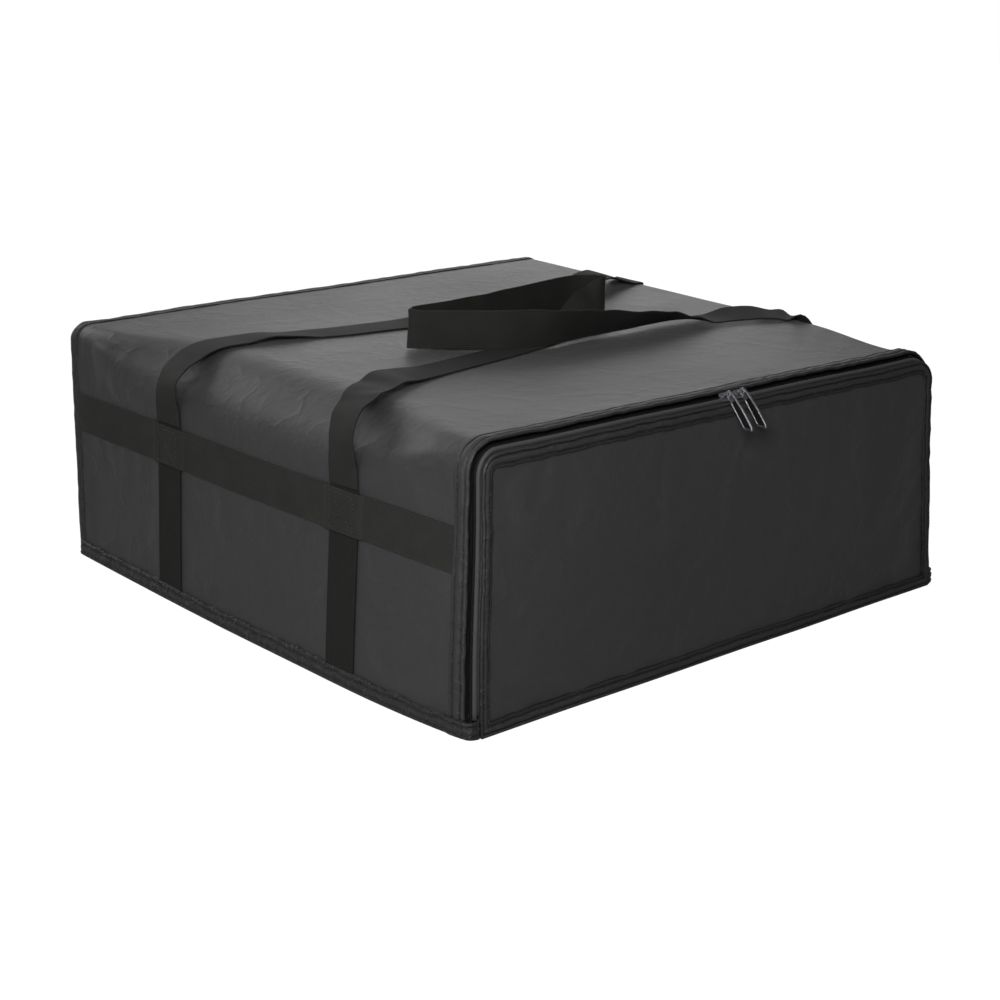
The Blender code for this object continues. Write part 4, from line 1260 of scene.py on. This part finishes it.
def make_side_webbing():
    """Straps down each side, and the band across them."""
    flat = WEBBING_GAP + WEBBING_WALL / 2
    reach = WEBBING_WIDTH / 2
    head = BAND_MIDDLE + reach + HEAD_ABOVE_BAND
    for side_name, side in (("left", -1), ("right", 1)):
        steps = eased_steps([(height, flat) for height in (6 * MM, 30 * MM, 60 * MM, 100 * MM, head)])
        for place_name, y in STRAP_PLACES.items():
            rows = [[Vector((side * (HALF_WIDTH + out), y - reach, z)),
                     Vector((side * (HALF_WIDTH + out), y + reach, z))] for z, out in steps]
            piece = webbing_piece(f"{side_name}_{place_name}_side_strap", rows, sign=side)
            dress(piece, finish_of("webbing_finish"), "bag", [f"{side_name}_{place_name}_strap"])
        over = flat + WEBBING_WALL + WEBBING_GAP
        stops = [(FRONT + 12 * MM, flat - 0.2 * MM), (FRONT + 24 * MM, flat)]
        for y in STRAP_PLACES.values():
            stops += [(y - reach - BAND_STEP_FOOT, flat), (y - reach - BAND_STEP, over),
                      (y + reach + BAND_STEP, over), (y + reach + BAND_STEP_FOOT, flat)]
        stops.append((BACK - 8 * MM, flat - 0.2 * MM))
        rows = [[Vector((side * (HALF_WIDTH + out), y, BAND_MIDDLE - reach)),
                 Vector((side * (HALF_WIDTH + out), y, BAND_MIDDLE + reach))]
                for y, out in eased_steps(stops, 6)]
        # The band's finish is the handles' webbing with a painted sheen
        piece = webbing_piece(f"{side_name}_cross_band", rows, sign=-side)
        dress(piece, finish_of("band_sheen_finish"), "bag", [f"{side_name}_side_band"])


def handle_samples(route, strap_y):
    """Places and leans along a handle on a smooth curve, from one side strap's head to the other."""
    level = HEIGHT + WEBBING_GAP + WEBBING_WALL / 2
    start = BAND_MIDDLE + WEBBING_WIDTH / 2 + HEAD_ABOVE_BAND + WEBBING_GAP
    reach = HALF_WIDTH + WEBBING_GAP + WEBBING_WALL
    stops = [(Vector((-reach, strap_y, start)), route[0][3])]
    for across, along, rise, lean in route:
        stops.append((Vector((across * HALF_WIDTH, along * DEPTH / 2, level + rise * WEBBING_WIDTH)), lean))
    stops.append((Vector((reach, strap_y, start)), route[-1][3]))
    last = len(stops) - 1
    samples = []
    for span in range(last):
        corners = [stops[min(max(span + k, 0), last)] for k in (-1, 0, 1, 2)]
        for step in range(ROUTE_STEPS):
            t = step / ROUTE_STEPS
            weights = ((-t + 2 * t ** 2 - t ** 3) / 2, (2 - 5 * t ** 2 + 3 * t ** 3) / 2,
                       (t + 4 * t ** 2 - 3 * t ** 3) / 2, (-t ** 2 + t ** 3) / 2)
            place = sum((w * c[0] for w, c in zip(weights, corners)), Vector())
            lean = corners[1][1] + (corners[2][1] - corners[1][1]) * smooth_share(t)
            samples.append((place, lean))
    samples.append(stops[-1])
    return samples


def handle_rows(samples):
    """Both edges of the webbing along sampled places, turned about its own line by its lean."""
    rows = []
    for index, (place, lean) in enumerate(samples):
        ahead = samples[min(index + 1, len(samples) - 1)][0]
        behind = samples[max(index - 1, 0)][0]
        along = (ahead - behind).normalized()
        turn = lean * math.pi / 2
        level = (Vector((0.0, 1.0, 0.0)) - along * along.y).normalized()
        away = Vector((math.copysign(abs(along.z), place.x), 0.0, 1.0))
        away = (away - along * away.dot(along)).normalized()
        across = (level * math.cos(turn) + away * math.sin(turn)).normalized()
        rise = WEBBING_WIDTH / 2 * abs(math.sin(turn)) + (WEBBING_WALL / 2 + WEBBING_GAP) * abs(lean)
        middle = place + Vector((0.0, 0.0, rise * (1.0 - along.z ** 2)))
        rows.append([middle - across * WEBBING_WIDTH / 2, middle + across * WEBBING_WIDTH / 2])
    return rows


def make_handles():
    """Both handles, each a grip with a leg at either end."""
    for name, route, grip_rows in (("front", FRONT_HANDLE_ROUTE, FRONT_GRIP_ROWS),
                                   ("rear", REAR_HANDLE_ROUTE, REAR_GRIP_ROWS)):
        rows = handle_rows(handle_samples(route, STRAP_PLACES[name]))
        first, last = (row * ROUTE_STEPS for row in grip_rows)
        grip = webbing_piece(f"{name}_handle_hold", rows[first:last + 1])
        dress(grip, finish_of("handle_sheen_finish"), f"{name}_grip", [f"{name}_handle_grip"])
        for side, run in (("left", rows[:first + 1]), ("right", rows[last:])):
            piece = webbing_piece(f"{name}_handle_{side}_run", run)
            piece.data.materials.append(finish_of("handle_sheen_finish"))
            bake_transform(piece)
            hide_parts(f"{name}_handle_{side}_leg")


# Stitching

def stitch_run(bm, line, outs):
    """Sew a line of stitches along points; outs gives the outward direction at each point."""
    sizes = bpy.context.scene.bag_sizes
    pitch = sizes.stitch_pitch
    size = Matrix.Diagonal((pitch * STITCH_SHARE / 2, sizes.thread / 2, sizes.thread / 2, 1.0))
    carry = pitch / 2
    for first, second, out in zip(line, line[1:], outs):
        step = second - first
        if step.length < 1e-6:
            continue
        along = step.normalized()
        side = along.cross(out).normalized()
        up = side.cross(along)
        while carry < step.length:
            basis = Matrix((along, side, up)).transposed().to_4x4()
            place = Matrix.Translation(first + along * carry)
            bmesh.ops.create_icosphere(bm, subdivisions=1, radius=1.0, matrix=place @ basis @ size)
            carry += pitch
        carry -= step.length


def seam_on_arch(bm, rise, distance, foot, radii):
    """Sew along the arch at a rise above the cover and a distance behind the front."""
    line = [relax(Vector((x, FRONT + distance, z))) for x, z in arch(-rise, radii, foot)]
    outs = []
    for first, second in zip(line, line[1:]):
        away = (second - first).cross(Vector((0, -1, 0))).normalized()
        if away.dot(first - Vector((0, first.y, HEIGHT / 2))) < 0:
            away = -away
        outs.append(away)
    stitch_run(bm, line, outs)


def make_stitching():
    """Stitches of the hem, bindings and border, and crossed boxes where straps and bands meet."""
    bm = bmesh.new()
    for at in HEM_SEAMS:
        seam_on_arch(bm, HEM_SEAM_RISE, ZIP_SET + at, HEM_SEAM_FOOT, FRONT_EDGE_RADII)
    seam_on_arch(bm, BACK_SEAM_RISE, BACK_SEAM, BACK_SEAM_FOOT, BACK_EDGE_RADII)
    line = [relax(Vector((x, y, FOOT_SEAM))) for x, y in foot_line(FOOT_SEAM_RISE)]
    outs = [(second - first).cross(Vector((0, 0, -1))).normalized() for first, second in zip(line, line[1:])]
    stitch_run(bm, line, outs)
    dress(new_piece("bag_stitches", bm), finish_of("thread_finish"), "bag")
    bm = bmesh.new()
    for at in BORDER_SEAMS:
        line = arch(ZIP_SET + at, BORDER_EDGE_RADII, PANEL_FOOT + at, True, ZIP_SET + at * BORDER_SQUEEZE)
        line = [relax(Vector((x, FRONT - BORDER_SEAM_RISE, z))) for x, z in line]
        stitch_run(bm, line, [Vector((0, -1, 0))] * len(line))
    dress(new_piece("panel_stitches", bm), finish_of("thread_finish"), "front_panel")
    bm = bmesh.new()
    reach = WEBBING_WIDTH / 2 - 3 * MM
    box = ((-1, -1), (1, -1), (1, 1), (-1, 1), (-1, -1), (1, 1), (1, -1), (-1, 1))
    for side in (-1, 1):
        out = side * (HALF_WIDTH + BAND_SEAM_RISE)
        for y in STRAP_PLACES.values():
            line = [relax(Vector((out, y + a * reach, BAND_MIDDLE + b * reach))) for a, b in box]
            points = []
            for first, second in zip(line, line[1:]):
                points += [first.lerp(second, k / 8) for k in range(8)]
            points.append(line[-1])
            stitch_run(bm, points, [Vector((side, 0, 0))] * len(points))
    dress(new_piece("strap_stitches", bm), finish_of("thread_finish"), "bag")


# Stage

def make_floor():
    """Plain pale floor that glows to the camera, so that it looks as white as its surroundings."""
    bm = bmesh.new()
    bmesh.ops.create_grid(bm, x_segments=8, y_segments=8, size=6.0)
    bmesh.ops.translate(bm, vec=(0, 0, -0.2 * MM), verts=bm.verts)
    floor = new_piece("floor", bm)
    material = bpy.data.materials.new("floor_paper")
    material.use_nodes = True
    tree = material.node_tree
    tree.nodes.clear()
    end = tree.nodes.new("ShaderNodeOutputMaterial")
    paper = tree.nodes.new("ShaderNodeBsdfDiffuse")
    paper.inputs["Color"].default_value = (PAPER_SHADE, PAPER_SHADE, PAPER_SHADE, 1.0)
    glow = tree.nodes.new("ShaderNodeEmission")
    glow.inputs["Color"].default_value = (1.0, 1.0, 1.0, 1.0)
    glow.inputs["Strength"].default_value = PAPER_GLOW
    mix = tree.nodes.new("ShaderNodeMixShader")
    path = tree.nodes.new("ShaderNodeLightPath")
    wire(tree, math_node(tree, "MULTIPLY", path.outputs["Is Camera Ray"], GLOW_SHARE), mix.inputs["Fac"])
    tree.links.new(paper.outputs[0], mix.inputs[1])
    tree.links.new(glow.outputs[0], mix.inputs[2])
    tree.links.new(mix.outputs[0], end.inputs["Surface"])
    floor.data.materials.append(material)


def make_surroundings(scene):
    """White surroundings that light the bag only a little."""
    world = bpy.data.worlds.new("white_surroundings")
    world.use_nodes = True
    tree = world.node_tree
    back = tree.nodes["Background"]
    path = tree.nodes.new("ShaderNodeLightPath")
    plain = math_node(tree, "ADD", path.outputs["Is Camera Ray"], path.outputs["Is Transmission Ray"])
    grey = math_node(tree, "MULTIPLY", math_node(tree, "SUBTRACT", 1.0, plain), SURROUNDING_LIGHT)
    wire(tree, math_node(tree, "ADD", plain, grey), back.inputs["Strength"])
    back.inputs["Color"].default_value = (1.0, 1.0, 1.0, 1.0)
    scene.world = world


def make_lamps(scene):
    """Soft studio lamps, each turned to the point that it lights."""
    for name, place, target, size, power in SOFTBOXES:
        data = bpy.data.lights.new(name, "AREA")
        data.size = size
        data.energy = power
        lamp = bpy.data.objects.new(name, data)
        lamp.location = place
        lamp.rotation_euler = (Vector(target) - Vector(place)).to_track_quat("-Z", "Y").to_euler()
        scene.collection.objects.link(lamp)


def make_camera(scene):
    """Camera at the photograph's place, found from the box's corners."""
    ahead = Vector((math.cos(CAMERA_DIP) * math.sin(CAMERA_TURN), math.cos(CAMERA_DIP) * math.cos(CAMERA_TURN),
                    -math.sin(CAMERA_DIP)))
    level = Vector((math.cos(CAMERA_TURN), -math.sin(CAMERA_TURN), 0.0))
    upright = level.cross(ahead)
    right = level * math.cos(CAMERA_ROLL) + upright * math.sin(CAMERA_ROLL)
    up = upright * math.cos(CAMERA_ROLL) - level * math.sin(CAMERA_ROLL)
    data = bpy.data.cameras.new("camera")
    data.sensor_width = SENSOR_WIDTH
    data.lens = SENSOR_WIDTH * CAMERA_LENS
    data.clip_start = 0.05
    camera = bpy.data.objects.new("camera", data)
    basis = Matrix((right, up, -ahead)).transposed().to_4x4()
    camera.matrix_world = Matrix.Translation(Vector(CAMERA_TARGET) - ahead * CAMERA_DISTANCE) @ basis
    scene.collection.objects.link(camera)
    scene.camera = camera


def make_stage():
    """Floor, white surroundings, lamps and camera."""
    scene = bpy.context.scene
    make_floor()
    make_surroundings(scene)
    make_lamps(scene)
    make_camera(scene)
    scene.view_settings.view_transform = "Standard"


# Add-on

class BagSizes(bpy.types.PropertyGroup):
    """Sizes of the bag's soft shape and sewing."""
    side_bulge: FloatProperty(name="Side bulge", description="How far the foot of each side bows out",
                              default=10 * MM, min=0.0, unit="LENGTH")
    top_sag: FloatProperty(name="Top sag", description="How far the middle of the top sinks",
                           default=2 * MM, min=0.0, unit="LENGTH")
    rim_sag: FloatProperty(name="Rim sag", description="How far the middle of the front rim sinks",
                           default=0.5 * MM, min=0.0, unit="LENGTH")
    slack: FloatProperty(name="Slack", description="Unevenness of the sewn shape",
                         default=1.2 * MM, min=0.0, unit="LENGTH")
    panel_bulge: FloatProperty(name="Panel bulge", description="How far the front panel's middle stands out",
                               default=2.2 * MM, min=0.0, unit="LENGTH")
    pucker: FloatProperty(name="Pucker", description="Depth of the gathers beside the seams",
                          default=3.2 * MM, min=0.0, unit="LENGTH")
    panel_wrinkle: FloatProperty(name="Panel wrinkle",
                                 description="Depth of the front panel's slanting wrinkles",
                                 default=4 * MM, min=0.0, unit="LENGTH")
    stitch_pitch: FloatProperty(name="Stitch pitch", description="Distance from one stitch to the next",
                                default=3.4 * MM, min=0.001, unit="LENGTH")
    thread: FloatProperty(name="Thread", description="Thickness of the sewing thread",
                          default=0.5 * MM, min=0.0001, unit="LENGTH")


class BagColours(bpy.types.PropertyGroup):
    """Colours of the bag's finishes."""
    cloth: FloatVectorProperty(name="Cloth", description="Coated cloth of the cover", subtype="COLOR",
                               size=3, default=(0.027, 0.0266, 0.0285), min=0.0, max=1.0)
    binding: FloatVectorProperty(name="Binding", description="Hem, border and hinge strips",
                                 subtype="COLOR", size=3, default=(0.024, 0.0237, 0.024), min=0.0, max=1.0)
    edging: FloatVectorProperty(name="Edging", description="Binding of the foot and back edge",
                                subtype="COLOR", size=3, default=(0.013, 0.013, 0.0125), min=0.0, max=1.0)
    zip_tape: FloatVectorProperty(name="Zip", description="Tape and coil of the zip", subtype="COLOR",
                                  size=3, default=(0.042, 0.042, 0.042), min=0.0, max=1.0)
    webbing: FloatVectorProperty(name="Webbing", description="Side straps, and the web in each pull",
                                 subtype="COLOR", size=3, default=(0.0075, 0.0075, 0.0069), min=0.0, max=1.0)
    # Painted sheen: the handles' webbing is coloured lighter than the side straps'
    handles: FloatVectorProperty(name="Handles", description="Webbing of the handles and bands",
                                 subtype="COLOR", size=3, default=(0.0135, 0.0135, 0.0126), min=0.0, max=1.0)
    thread: FloatVectorProperty(name="Thread", description="Sewing thread", subtype="COLOR",
                                size=3, default=(0.024, 0.024, 0.024), min=0.0, max=1.0)
    foil: FloatVectorProperty(name="Foil", description="Silver lining", subtype="COLOR",
                              size=3, default=(0.72, 0.73, 0.75), min=0.0, max=1.0)
    metal: FloatVectorProperty(name="Metal", description="Sliders, pulls and stops", subtype="COLOR",
                               size=3, default=(0.38, 0.38, 0.40), min=0.0, max=1.0)


class BAG_OT_make_cover(bpy.types.Operator):
    """Make the cloth of the sides, top, back and base"""
    bl_idname = "bag.make_cover"
    bl_label = "Cover cloth"

    def execute(self, context):
        make_wrap_cloth()
        make_back_cloth()
        make_base_cloth()
        return {"FINISHED"}


class BAG_OT_make_padding(bpy.types.Operator):
    """Make the foil-lined padding of the walls"""
    bl_idname = "bag.make_padding"
    bl_label = "Padding"

    def execute(self, context):
        make_wrap_padding()
        make_back_padding()
        make_base_padding()
        return {"FINISHED"}


class BAG_OT_make_panel(bpy.types.Operator):
    """Make the front panel, its border and the bend that it folds on"""
    bl_idname = "bag.make_panel"
    bl_label = "Front panel"

    def execute(self, context):
        make_front_panel()
        make_panel_border()
        make_hinge_fold()
        return {"FINISHED"}


class BAG_OT_make_edging(bpy.types.Operator):
    """Make the hem round the mouth and the bindings of the back and foot"""
    bl_idname = "bag.make_edging"
    bl_label = "Hem and bindings"

    def execute(self, context):
        make_hem_strip()
        make_back_edging()
        make_foot_edging()
        return {"FINISHED"}


class BAG_OT_make_zip(bpy.types.Operator):
    """Make the zip's tapes and coils, and give its stops their finish"""
    bl_idname = "bag.make_zip"
    bl_label = "Zip"

    def execute(self, context):
        make_zip_tapes()
        make_coils()
        for name in ("left_zip_stop", "right_zip_stop"):
            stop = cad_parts[name]
            stop.data.materials.clear()
            stop.data.materials.append(finish_of("slider_finish"))
        return {"FINISHED"}


class BAG_OT_make_sliders(bpy.types.Operator):
    """Make the zip's sliders and pulls"""
    bl_idname = "bag.make_sliders"
    bl_label = "Sliders and pulls"

    def execute(self, context):
        make_sliders()
        return {"FINISHED"}


class BAG_OT_make_webbing(bpy.types.Operator):
    """Make the side straps and the bands across them"""
    bl_idname = "bag.make_webbing"
    bl_label = "Straps and bands"

    def execute(self, context):
        make_side_webbing()
        return {"FINISHED"}


class BAG_OT_make_handles(bpy.types.Operator):
    """Make the two carry handles"""
    bl_idname = "bag.make_handles"
    bl_label = "Handles"

    def execute(self, context):
        make_handles()
        return {"FINISHED"}


class BAG_OT_make_stitching(bpy.types.Operator):
    """Sew the visible stitches"""
    bl_idname = "bag.make_stitching"
    bl_label = "Stitching"

    def execute(self, context):
        make_stitching()
        return {"FINISHED"}


class BAG_OT_make_stage(bpy.types.Operator):
    """Make the floor, lights, surroundings and camera"""
    bl_idname = "bag.make_stage"
    bl_label = "Stage"

    def execute(self, context):
        make_stage()
        return {"FINISHED"}


OPERATORS = (BAG_OT_make_stage, BAG_OT_make_padding, BAG_OT_make_cover, BAG_OT_make_panel, BAG_OT_make_edging,
             BAG_OT_make_zip, BAG_OT_make_sliders, BAG_OT_make_webbing, BAG_OT_make_handles,
             BAG_OT_make_stitching)


class BAG_PT_panel(bpy.types.Panel):
    """Sizes, colours and steps of the bag"""
    bl_idname = "BAG_PT_panel"
    bl_label = "Pizza delivery bag"
    bl_space_type = "VIEW_3D"
    bl_region_type = "UI"
    bl_category = "Bag"

    def draw(self, context):
        for group in (context.scene.bag_sizes, context.scene.bag_colours):
            for name in group.bl_rna.properties.keys():
                if name not in ("rna_type", "name"):
                    self.layout.prop(group, name)
        for operator in OPERATORS:
            self.layout.operator(operator.bl_idname)


CLASSES = (BagSizes, BagColours, *OPERATORS, BAG_PT_panel)


def register():
    """Register the classes and hang the sizes and colours on the scene."""
    for item in CLASSES:
        bpy.utils.register_class(item)
    bpy.types.Scene.bag_sizes = PointerProperty(type=BagSizes)
    bpy.types.Scene.bag_colours = PointerProperty(type=BagColours)


def unregister():
    """Take the classes and properties away again."""
    del bpy.types.Scene.bag_colours
    del bpy.types.Scene.bag_sizes
    for item in reversed(CLASSES):
        bpy.utils.unregister_class(item)


def main():
    """Make every piece in order."""
    register()
    for operator in OPERATORS:
        getattr(bpy.ops.bag, operator.bl_idname.split(".")[1])()


if __name__ == "__main__":
    main()
